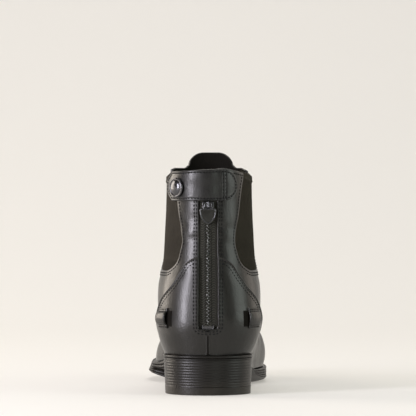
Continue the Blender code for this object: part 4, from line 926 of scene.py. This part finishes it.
def offset_line(turn, height, distance):
    """A line on the form moved sideways in the surface: the step a A + b B that equals distance (normal x tangent)."""
    point, around, upward, normal = shaft_frame(turn, height)
    side = np.cross(normal, unit(np.gradient(point, axis=0))) * distance
    aa, ab, bb = (around * around).sum(-1), (around * upward).sum(-1), (upward * upward).sum(-1)
    sa, sb = (side * around).sum(-1), (side * upward).sum(-1)
    fall = aa * bb - ab * ab
    return turn + (sa * bb - sb * ab) / fall, height + (sb * aa - sa * ab) / fall


TAB_MIDDLE = TAB_BOTTOM + TAB_WIDTH / 2
REACH_TURNS = np.linspace(-2.0, 2.0, 801)
REACH = travelled(shaft_form(REACH_TURNS + 1e-9, np.full(801, TAB_MIDDLE)))
REACH -= REACH[400]


def tab_half(reach):
    """Half width of the tab at a reach round the shaft: cut corners at the free end, a round end where it is sewn."""
    corner = np.clip(TAB_CORNER - (reach + TAB_REACH_MEDIAL), 0.0, TAB_CORNER) * 0.78
    over = np.clip((reach - TAB_REACH_LATERAL + TAB_WIDTH / 2) / (TAB_WIDTH / 2), 0.0, 0.9999)
    return TAB_WIDTH / 2 * np.sqrt(1 - over**2) - corner


def tab_spread(reach):
    """How much higher the tab's top edge lies at a reach: it rises towards the sewn end."""
    return TAB_SPREAD * ramp(reach, -0.03, 0.014)


def tab_lift(reach, up, above):
    """Point over the tab's place at a reach and a height from its middle, and the normal there."""
    return lift(np.interp(reach, REACH, REACH_TURNS) + 1e-9, TAB_MIDDLE + up, above)


def make_tab():
    """Snap tab: a strap 1.9 mm thick with rounded edges, pressed down a little along its stitches."""
    free, sewn, wide = -TAB_REACH_MEDIAL, TAB_REACH_LATERAL, TAB_WIDTH / 2
    reach = np.concatenate([free + np.array([0.0, 0.0002, 0.0005, 0.001, 0.0017]),
                            np.linspace(free + 0.0026, sewn - wide, 90),
                            sewn - wide * (1 - np.sin(np.linspace(0.04, 1.565, 40)))])
    cross = np.sin(np.linspace(-np.pi / 2, np.pi / 2, 41))[:, None]
    half = tab_half(reach)
    up = cross * half + np.clip(cross, 0, 1) * tab_spread(reach)
    edge = half * (1 - np.abs(cross)) / np.sqrt(1 + np.gradient(half, reach) ** 2)
    edge = np.minimum(np.minimum(edge, reach - free), (sewn - reach) * 3)
    thick = TAB_THICKNESS - round_edge(edge, TAB_EDGE) + 0.0002 * ramp(edge, 0.002, 0.007)
    thick -= TAB_PRESS * bell(edge, TAB_INSET, 0.00045)
    for row in TAB_ROWS:
        thick -= TAB_PRESS * bell(reach, row, 0.0005)
    outer, _ = tab_lift(reach + 0 * up, up, 2 * GAP + thick)
    inner, _ = tab_lift(reach + 0 * up, up, 0.0001)
    piece("snap_tab_leather", *slab(outer, inner), STRAP, "strap_leather", stands_for=("snap_tab",))

    line = np.linspace(free + TAB_INSET, sewn - TAB_INSET, 240)
    half = tab_half(line)
    inside = np.clip(half - TAB_INSET * np.sqrt(1 + np.gradient(half, line) ** 2), 0.0, wide - TAB_INSET)
    upper = inside * (1 + tab_spread(line) / wide)
    ring = np.stack([np.concatenate([line, line[::-1]]), np.concatenate([upper, -inside[::-1]])])
    ring = ring[:, np.concatenate([[True], np.hypot(*np.diff(ring)) > 2e-5])]
    rise = np.linspace(TAB_INSET - wide, wide - TAB_INSET, 30)
    rows = [ring, *((np.full(30, row), rise) for row in TAB_ROWS)]
    rows.append((np.full(20, line[0]), np.linspace(-inside[0], inside[0], 20)))
    top = TAB_THICKNESS + 2 * GAP - SEAM_LIFT
    threads("snap_tab_stitches", [tab_lift(*row, top) for row in rows], THREAD, "strap_leather")


def make_snap():
    """Snap cap: a domed metal cap in a rolled rim, turned round its axis, bare."""
    turn = np.array([np.interp(-SNAP_REACH, REACH, REACH_TURNS)])
    base, normal = lift(turn, np.array([TAB_BOTTOM + TAB_WIDTH * 0.45]), TAB_THICKNESS + 2 * GAP)
    at, fine = np.linspace(0, 1, len(SNAP_PROFILE["radius"])), np.linspace(0, 1, 60)
    radius = smooth(at, SNAP_PROFILE["radius"], fine)[:, None] * SNAP_DIAMETER / 2
    rise = smooth(at, SNAP_PROFILE["rise"], fine)[:, None] * SNAP_HEIGHT
    angle = np.arange(72) * 2 * np.pi / 72
    points, faces = barrel(np.stack([radius * np.cos(angle), radius * np.sin(angle), rise + 0 * angle], axis=-1))
    axis = normal[0]
    first = unit(np.cross([0.0, 0.0, 1.0], axis))
    points = base[0] + points @ np.stack([first, np.cross(axis, first), axis])
    piece("snap_cap", points, faces, METAL, "dark_metal", stands_for=("snap_button",), sharp=60)


def make_loop(name, side):
    """Spur loop: a strap sewn down above and below, its middle arched out: lift = arch sin(pi q)^0.4."""
    middle = LOOP_BOTTOM + LOOP_HEIGHT / 2
    start, arch = (LOOP_START_MEDIAL, LOOP_ARCH_MEDIAL) if side < 0 else (LOOP_START, LOOP_ARCH)
    end = LOOP_START + LOOP_LENGTH
    rear, front = turn_at(np.array([start, end]), middle, side)
    rise = np.linspace(0.0, 1.0, 96)[:, None]
    flat = 0.0026 / LOOP_HEIGHT
    cross = np.sin(np.linspace(-np.pi / 2, np.pi / 2, 21))
    base = COUNTER_FACE + arch * np.sin(np.pi * np.clip((rise - flat) / (1 - 2 * flat), 0.0, 1.0)) ** 0.4
    turn = (rear + front) / 2 + (front - rear) / 2 * cross + 0 * rise
    height = LOOP_BOTTOM + LOOP_HEIGHT * rise + 0 * cross
    edge = np.minimum(LOOP_LENGTH / 2 * (1 - np.abs(cross)), LOOP_HEIGHT * np.minimum(rise, 1 - rise))
    outer, _ = lift(turn, height, base + LOOP_THICKNESS - round_edge(edge, LOOP_EDGE))
    inner, _ = lift(turn, height, base)
    piece(name + "_leather", *slab(outer, inner), LEATHER, "leather", stands_for=(name,))
    # Painted shade: a matte dark patch of lining under the loop and 2.9 mm behind its rear end, standing in for the
    # shade inside the loop's tunnel.
    rise = rise[::4]
    rear_under, front_under = turn_at(np.array([start - 0.0029, end - 0.001]), middle, side)
    turn = rear_under + (front_under - rear_under) * np.linspace(0, 1, 24) + 0 * rise
    height = LOOP_BOTTOM + 0.0014 + (LOOP_HEIGHT - 0.0028) * rise + 0 * turn
    outer, _ = lift(turn, height, COUNTER_FACE + 0.0004)
    inner, _ = lift(turn, height, COUNTER_FACE - 0.0003)
    piece(name + "_painted_shade_patch", *slab(outer, inner), LINING, "leather")
    turn = (rear + front) / 2 + (front - rear) / 2 * np.linspace(0.92, -0.92, 24)
    lines = [lift(turn, np.full(24, LOOP_BOTTOM + up), COUNTER_FACE + LOOP_THICKNESS)
             for up in (0.0011, 0.0025, LOOP_HEIGHT - 0.0025, LOOP_HEIGHT - 0.0011)]
    threads(name + "_stitches", lines, THREAD, "leather", pitch=0.0021)


def make_zip():
    """Zip: woven tape behind the slot, two rows of slanted coil turns down its middle, and a bottom stop."""
    low, top = ZIP_BOTTOM - 0.001, COLLAR_HEIGHT - 0.0009
    across, height = np.meshgrid(np.linspace(-TAPE_HALF, TAPE_HALF, 40), np.linspace(low, top, 120))
    front, normal = back_lift(across, height, 0.0003 * bell(np.abs(across), 0.0022, 0.0006) - TAPE_RECESS)
    uv = np.stack([across, height], axis=-1).reshape(-1, 2)
    piece("zip_tape_cloth", *slab(front, front - normal * TAPE_THICKNESS), TAPE, "zip_cloth",
          stands_for=("zip_tape",), uv=np.concatenate([uv, uv]))

    first = low + 0.0062
    rows = first + np.arange(int((top - first) / COIL_PITCH)) * COIL_PITCH
    share = np.linspace(0.0, 1.0, 5)
    coil, cord = [], []
    for side in (-1.0, 1.0):
        rise = (rows + side * 0.25 * COIL_PITCH)[:, None] + 0.0006 * (share - 0.5)
        coil += zip(*back_lift(side * (0.0012 - 0.0015 * share) + 0 * rise, rise, -COIL_RECESS))
        cord.append(back_lift(np.full(200, side * 0.0024), np.linspace(rows[0], rows[-1], 200), -0.00125))
    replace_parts(threads("zip_coil", coil, COIL, "zip_teeth", COIL_RADIUS, 0.0050, 0.0), "zip_chain")
    threads("zip_tape_stitches", cord, THREAD, "zip_cloth", 0.00022, 0.0025, 0.0006, 0.0001)

    bend = np.linspace(0.0, np.pi / 2, 10)
    across = np.concatenate([[-0.0041] * 2, 0.0010 * (1 - np.cos(bend)) - 0.0041, np.linspace(-0.0028, 0.0028, 12)])
    height = np.concatenate([[0.0040, 0.0030], 0.0010 * (2 - np.sin(bend)), np.full(12, 0.0010)]) + low + 0.0002
    across, height = np.concatenate([across, -across[11::-1]]), np.concatenate([height, height[11::-1]])
    clip = tube(back_lift(across + TINY, height, -COIL_RECESS)[0], COIL_RADIUS, 14)
    across, height = np.meshgrid(np.linspace(-0.0036, 0.0036, 25), np.linspace(low + 0.0012, low + 0.0036, 9))
    filling = slab(*(back_lift(across + TINY, height, depth)[0] for depth in (-0.0012, -0.0017)))
    piece("zip_bottom_stop", *gather([clip, filling]), METAL, "dark_metal", stands_for=("zip_stop",), sharp=35)


def plate(outline, back, front, bevel, centre):
    """Flat plate in X and Z with rounded edges between two depths in Y. Ring k of its edge is the outline drawn in
    towards centre by bevel (1 - cos a), its depth the face's less bevel (1 - sin a), a from 0 to pi / 2."""
    away = outline - centre
    size = np.linalg.norm(away, axis=-1, keepdims=True)
    angle = np.linspace(0.0, np.pi / 2, 6)
    inward = np.concatenate([1 - np.cos(angle[::-1]), 1 - np.cos(angle), [1.2, 2.0]])
    depth = np.concatenate([back - bevel * (1 - np.sin(angle[::-1])), front + bevel * (1 - np.sin(angle)), [front] * 2])
    flat = centre + away / size * (size - bevel * inward[:, None, None])
    points = np.stack([flat[..., 0], depth[:, None] + 0 * flat[..., 0], flat[..., 1]], axis=-1)
    total, count = points.shape[:2]
    step = np.arange(0, count, 2)
    faces = [quads(total, count, True)]
    for row, pole in ((0, total * count), (total - 1, total * count + 1)):
        base = row * count
        faces.append(np.stack([base + step, base + (step + 1) % count, base + (step + 2) % count,
                               np.full(len(step), pole)], axis=-1))
    poles = [(centre[0], depth[0], centre[1]), (centre[0], front, centre[1])]
    points = np.concatenate([points.reshape(-1, 3), poles])
    return points, facing(points, np.concatenate(faces))


def even_outline(corners, count, soften):
    """Closed outline at even steps round its corners, smoothed by a rolling mean over soften points."""
    ring = np.concatenate([corners, corners[:1]])
    run = travelled(ring)
    even = points_at(np.linspace(0.0, run[-1], count, endpoint=False), run, ring)
    return np.mean([np.roll(even, k, axis=0) for k in range(-soften, soften + 1)], axis=0)


def gather(parts):
    """Several closed forms as the points and faces of one piece."""
    starts = np.cumsum([0] + [len(points) for points, _ in parts])
    return (np.concatenate([points for points, _ in parts]),
            np.concatenate([faces + start for (_, faces), start in zip(parts, starts)]))


def make_slider():
    """Slider: a shield-shaped plate and a bridge of three bars side by side, bare."""
    low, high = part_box("zip_slider")
    half, top, foot, back, front = (high.x - low.x) / 2, high.z, low.z, high.y, low.y
    waist = top - 0.55 * (top - foot)
    right = [(0.7 * half, foot), (half, waist), (half, top)]
    corners = np.array([(-right[0][0], foot), *right, *((-x, z) for x, z in right[:0:-1])])
    body = plate(even_outline(corners, 96, 3), back, back - 0.0010, 0.0003, np.array([0.0, (top + foot) / 2]))
    lower = top - 0.0044
    path = np.array([(0, back - 0.0004, lower), (0, front + 0.0004, lower + 0.0001), (0, front + 0.0004, top - 0.0004),
                     (0, back - 0.0004, top - 0.0003)])
    run = travelled(path)
    fine = points_at(np.linspace(0, run[-1], 60), run, path)
    fine[2:-2] = np.mean([np.roll(fine, k, axis=0)[2:-2] for k in (-2, -1, 0, 1, 2)], axis=0)
    bars = [tube(fine + np.array([x, 0, 0]), 0.00035) for x in (-0.0006, 0.0, 0.0006)]
    piece("zip_slider_body", *gather([body, *bars]), METAL, "dark_metal", stands_for=("zip_slider",), sharp=40)


def make_pull():
    """Shield-shaped pull with a raised rim that hangs on a round bar from the slider's bridge, bare."""
    low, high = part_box("zip_pull")
    thick, axis_y = (high.y - low.y) / 2, (low.y + high.y) / 2
    axis_z = high.z - thick
    z = axis_z - 0.0034 - SHIELD["down"] * 0.0120
    x = SHIELD["half"] * 0.0063
    outline = np.column_stack([np.concatenate([x, -x[::-1]]), np.concatenate([z, z[::-1]])])
    middle = np.array([0.0, axis_z - 0.0084])
    ring = even_outline(outline, 120, 2)
    face = plate(ring, axis_y + thick, axis_y - thick + 0.0004, 0.00028, middle)

    def bar(x, z, y, radius, sides):
        """Round bar at one depth."""
        return tube(np.stack(np.broadcast_arrays(x, y, z), axis=-1), radius, sides)

    rim = middle + (ring - middle) * 0.90
    rim = np.concatenate([rim, rim[:2]])
    forms = [bar(*rim.T, axis_y - thick + 0.00045, 0.00045, 12),
             bar(np.linspace(-0.0031, 0.0031, 24), axis_z, axis_y, 0.00058, 16)]
    down = np.linspace(0.0, 0.0044, 20)
    for side in (-1.0, 1.0):
        forms.append(bar(side * (0.0025 + 0.0009 * ramp(down, 0.0012, 0.0044)), axis_z - down, axis_y, 0.00056, 14))
    piece("zip_pull_rim", *gather(forms), METAL, "dark_metal", body="pull", sharp=40)
    piece("zip_pull_tab", *face, TEETH, "dark_metal", body="pull", stands_for=("zip_pull",), sharp=40)


def side_drop(along, side):
    """How far the feather line lies off the sole's middle height: the arch is high inside, the waist low outside."""
    station = along / SOLE_LENGTH
    return np.where(side < 0, curve(TILT, "medial", station), curve(TILT, "lateral", station))


def plan_normals(ring):
    """Outward unit normals in plan of a closed ring of points."""
    run = np.roll(ring, -1, axis=0) - np.roll(ring, 1, axis=0)
    normal = unit(np.stack([run[:, 1], -run[:, 0]], axis=-1))
    return normal * np.sign((normal * (ring - ring.mean(axis=0))).sum())


def both_outlines(along):
    """Points in plan of the sole's medial and lateral edge."""
    return [np.stack([sole_outline(along, side), along], axis=-1) for _, side in SIDES]


def make_sole():
    """Sole: its side is cut by fine grooves, GROOVE * sum of exp(-((q - g) / 0.032)^2) deep at a share q of its height.

    The medial waist is cut in by WAIST_CUT under the sole's band, and the tread is cambered.
    """
    count = 150
    total = 2 * count
    medial, lateral = both_outlines(SOLE_LENGTH * (1 - np.cos(np.linspace(0.0, np.pi, count + 1))) / 2)
    ring = np.concatenate([medial, lateral[-2:0:-1]])
    normal = plan_normals(ring)
    side = np.where(np.arange(total) <= count, -1.0, 1.0)
    along = ring[:, 1]
    station = along / SOLE_LENGTH
    flare = SOLE_FLARE * ramp(station, 0.50, 0.66) * (side < 0) * (1 - ramp(station, 0.85, 1.0))
    ends = np.clip(np.minimum(along, SOLE_LENGTH - along) / 0.02, 0, 1)
    top = sole_top(along) + side_drop(along, side) * ends - 0.0006 * ramp(station, 0.25, 0.32)
    seat = 1 - ramp(station, 0.20, 0.27)
    waist = ramp(station, 0.26, 0.33) * (1 - ramp(station, 0.61, 0.66)) * (side < 0)
    down = np.concatenate([np.linspace(0, 0.06, 5), np.linspace(0.07, 0.93, 60), np.linspace(0.94, 1.0, 5)])
    wall = []
    for q in down:
        plan = ring + normal * (flare * q)[:, None]
        fine = ramp(top - sole_bottom(plan[:, 1], plan[:, 0]), 0.0015, 0.003)
        groove = sum(bell(q, g, 0.032) for g in SOLE_GROOVES) * (1 - seat) + 0.7 * bell(q, 0.64, 0.07) * seat
        inset = (GROOVE * groove + WAIST_CUT * waist * min(1.0, max(0.0, (q - SOLE_BAND) / 0.10))) * fine
        inset += 0.0007 * (max(0.0, 1 - q / 0.06) ** 2 + max(0.0, 1 - (1 - q) / 0.06) ** 2)
        inset += 0.0005 * (2 * q - 1) ** 2 * (1 - fine) - 0.0005 * seat * math.sin(math.pi * min(1.0, q / 0.6))
        plan = plan - normal * inset[:, None]
        wall.append(place(plan[:, 0], plan[:, 1], top + (sole_bottom(plan[:, 1], plan[:, 0]) - top) * q))
    wall = np.array(wall)
    cross = (1 - np.cos(np.linspace(0, np.pi, 26))) / 2
    parts, faces, start = [wall.reshape(-1, 3)], [quads(len(down), total, True)], wall.size // 3
    for row in (0, len(down) - 1):
        inner, outer = wall[row, 1:count, None], wall[row, :count:-1, None]
        grid = inner + (outer - inner) * cross[:, None]
        if row:
            grid[..., 2] = sole_bottom(grid[..., 1] + HEEL_LENGTH / 2, grid[..., 0])
        else:
            grid[:, 1:-1, 2] -= 0.0006
        number = start + np.arange(grid.size // 3).reshape(grid.shape[:2])
        number[:, 0] = row * total + np.arange(1, count)
        number[:, -1] = row * total + np.arange(total - 1, count, -1)
        faces.append(grid_faces(number))
        parts.append(grid.reshape(-1, 3))
        start += grid.size // 3
        step = np.arange(0, len(cross) - 2, 2)
        for line, pole in ((number[0], row * total), (number[-1], row * total + count)):
            faces.append(np.stack([line[step], line[step + 1], line[step + 2], np.full(len(step), pole)], axis=-1))
    piece("sole_rubber_body", np.concatenate(parts), np.concatenate(faces), RUBBER, "sole_rubber", stands_for=("sole",))


def heel_outline(count):
    """Even points round the heel: the sole's outline behind, a breast hollowed by 3 percent of its length in front."""
    medial, lateral = both_outlines(HEEL_LENGTH * (1 - np.cos(np.linspace(0, np.pi / 2, 60)) ** 1.5))
    across = np.linspace(lateral[-1, 0], medial[-1, 0], 24)[1:-1]
    breast = np.stack([across, HEEL_LENGTH - 0.03 * HEEL_LENGTH * (1 - (2 * across / HEEL_WIDTH) ** 2)], axis=-1)
    return even_outline(np.concatenate([lateral, breast, medial[::-1][:-1]]), count, 1)


def make_heel():
    """Stacked heel with fine ribs every 2 mm, each 0.12 mm proud, and its smooth top lift."""
    ring = heel_outline(260)
    normal = plan_normals(ring)

    def stack(name, low, high, inset, rows, node):
        """Closed body of rings between two heights, each drawn in by inset(height)."""
        height = np.linspace(low, high, rows)
        cut = inset(height) + HEEL_TAPER * (1 - height / HEEL_HEIGHT)
        plan = ring - normal * cut[:, None, None]
        points, faces = barrel(place(plan[..., 0], plan[..., 1], height[:, None]))
        piece(name, points, faces, RUBBER, "sole_rubber", stands_for=(node,), sharp=60)

    def ribs(height):
        """Inset of the ribs, and of the step under the sole."""
        wave = 1 - np.cos(2 * np.pi * (height - TOP_LIFT_THICKNESS) / HEEL_RIB_PITCH)
        return HEEL_RIB_DEPTH / 2 * wave + 0.0004 * ramp(height, HEEL_HEIGHT - 0.0006, HEEL_HEIGHT)

    stack("heel_stack", TOP_LIFT_THICKNESS + 0.0001, HEEL_HEIGHT + 0.0001, ribs, 161, "heel")
    stack("heel_top_lift", 0.0, TOP_LIFT_THICKNESS,
          lambda height: round_edge(np.minimum(height, TOP_LIFT_THICKNESS - height), 0.0005), 49, "top_lift")


def make_seams():
    """Stitch rows of zip, counter, gores and collar, and the butt seam up the back of the heel, with a matte dark strip
    over its groove as painted shade.
    """
    bend = np.linspace(0.0, np.pi / 2, 14)
    lines = []
    for distance in ZIP_ROWS:
        half, low, radius = ZIP_OPENING / 2 + distance, ZIP_BOTTOM - distance, ZIP_CORNER + distance
        up = np.concatenate([np.linspace(COLLAR_HEIGHT - 0.004, low + radius, 160), low + radius * (1 - np.sin(bend))])
        edge = np.concatenate([np.full(160, half), half - radius * (1 - np.cos(bend))])
        across = np.concatenate([-edge, np.linspace(radius - half, half - radius, 24)[1:-1], edge[::-1]])
        height = np.concatenate([up, np.full(22, low), up[::-1]])
        turn = turn_across(across + TINY, height)
        lines.append(lift(turn, height, np.where(height < seam_height(turn), COUNTER_FACE, 0.0) + SEAM_LIFT))
    threads("zip_facing_stitches", lines, THREAD, "leather", 0.00048, 0.0028, 0.0009)

    counter, gores, collar = [], [], []
    up = np.concatenate([np.linspace(GORE_TOP - 0.001, GORE_BOTTOM + GORE_CORNER, 90),
                         GORE_BOTTOM + GORE_CORNER * (1 - np.sin(np.linspace(0.0, np.pi / 2, 20)[1:]))])
    rear, front = gore_edge(up, "rear"), gore_edge(up, "front")
    around = np.concatenate([up, np.full(58, GORE_BOTTOM), up[::-1]])
    along = np.concatenate([rear, np.linspace(rear[-1], front[-1], 60)[1:-1], front[::-1]])
    second = slice(100, 176)
    for side in (-1.0, 1.0):
        turn = np.linspace(0.30, float(turn_at(COUNTER_REACH - 0.003, 0.03, 1.0)), 260) * side
        height = seam_height(turn)
        counter += [lift(*offset_line(turn, height, -side * away), COUNTER_FACE) for away in COUNTER_ROWS]
        turn = turn_at(along, around, side)
        gores.append(lift(*offset_line(turn, around, -side * GORE_ROWS[0]), SEAM_LIFT))
        gores.append(lift(*offset_line(turn[second], around[second], -side * GORE_ROWS[1]), SEAM_LIFT))
        across = side * np.linspace(0.0085, 0.0262, 60)
        collar.append(back_lift(across, collar_top(across, False) - COLLAR_ROW, SEAM_LIFT))
    for name, lines in (("counter", counter), ("gore", gores), ("collar", collar)):
        threads(name + "_stitches", lines, THREAD, "leather")

    up = np.linspace(SEAT + 0.0006, ZIP_BOTTOM - 0.0042, 60)
    across, height = np.meshgrid(np.linspace(-BACK_SEAM_HALF, BACK_SEAM_HALF, 33), up)
    lips = 0.0003 * np.cos(np.clip(across / BACK_SEAM_HALF, -1, 1) * np.pi / 2) ** 0.6
    lips = lips - 0.0011 * bell(across, 0, 0.00034)
    outer, normal = back_lift(across + TINY, height, COUNTER_FACE + 0.00004 + lips)
    piece("back_seam", *slab(outer, outer - normal * 0.0010), LEATHER, "leather", sharp=70)
    # Painted shade: a matte dark strip of lining, 0.8 mm wide, laid over the seam's groove.
    across, height = np.meshgrid(np.linspace(-BACK_SHADE_HALF, BACK_SHADE_HALF, 7), up)
    outer, normal = back_lift(across + TINY, height, COUNTER_FACE + 0.0003)
    piece("back_seam_painted_shade", *slab(outer, outer - normal * 0.0009), LINING, "leather")


def stage_and_camera():
    """Pale floor that runs up into a pale wall and glows as painted light, less near the boot and more towards the
    wall; soft lights, and the camera at the photo's place behind the boot.
    """
    bend = np.linspace(0.1, 1.5708, 16)
    run = np.concatenate([np.linspace(-3.2, 1.0, 12), 1.0 + 1.2 * np.sin(bend), [2.2, 2.2]])
    rise = np.concatenate([np.zeros(12), 1.2 * (1 - np.cos(bend)), [2.0, 4.0]])
    width, run = np.meshgrid(np.linspace(-4.0, 4.0, 3), run)
    points = np.stack([width, run, rise[:, None] - 0.0002 + 0 * width], axis=-1)
    mesh = bpy.data.meshes.new("floor")
    mesh.from_pydata(points.reshape(-1, 3).tolist(), [], quads(*run.shape).tolist())
    mesh.shade_smooth()
    look = Look("pale_floor", (0.58, 0.57, 0.55), 0.8, Emission_Color=(1.0, 0.955, 0.880, 1.0))
    # Painted light: the floor and wall glow, with emission 0.285 near the boot rising to 0.36 towards the wall.
    forward = look.node("SeparateXYZ", {"Vector": look.place["Object"]}).outputs["Y"]
    look.vary("Emission Strength", look.span(forward, 0.2, 1.2, 0.285, 0.36))
    mesh.materials.append(look.material)
    show("floor", mesh)

    for name, stand, aim, size, power, colour in LIGHTS:
        light = bpy.data.lights.new(name, "AREA")
        light.shape, light.size, light.size_y = "RECTANGLE", *size
        light.energy, light.color = power, colour
        thing = show(name, light)
        turned = (Vector(aim) - Vector(stand)).to_track_quat("-Z", "Y").to_matrix().to_4x4()
        turned.translation = Vector(stand)
        thing.matrix_world = turned

    world = bpy.data.worlds.new("studio")
    bpy.context.scene.world = world
    world.use_nodes = True
    background = world.node_tree.nodes["Background"]
    background.inputs["Color"].default_value = (1.0, 0.985, 0.955, 1.0)
    background.inputs["Strength"].default_value = 0.05

    camera = bpy.data.cameras.new("photo_camera")
    camera.sensor_width, camera.lens = 36.0, 242.7
    camera.clip_start, camera.clip_end = 0.05, 20.0
    thing = show("photo_camera", camera)
    thing.location = (0.0, -HEEL_LENGTH / 2 - CAMERA_BACK, CAMERA_HEIGHT)
    thing.rotation_euler = (math.pi / 2, 0.0, 0.0)
    bpy.context.scene.camera = thing
    bpy.context.scene.view_settings.view_transform = "Standard"


make_sole()
make_heel()
make_upper()
make_counter()
for word, side in SIDES:
    make_gore("gore_" + word, side)
    make_loop("spur_loop_" + word, side)
make_zip()
make_slider()
make_pull()
make_tab()
make_snap()
make_seams()
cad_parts["insole"].data.materials.clear()
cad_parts["insole"].data.materials.append(LINING)
stage_and_camera()
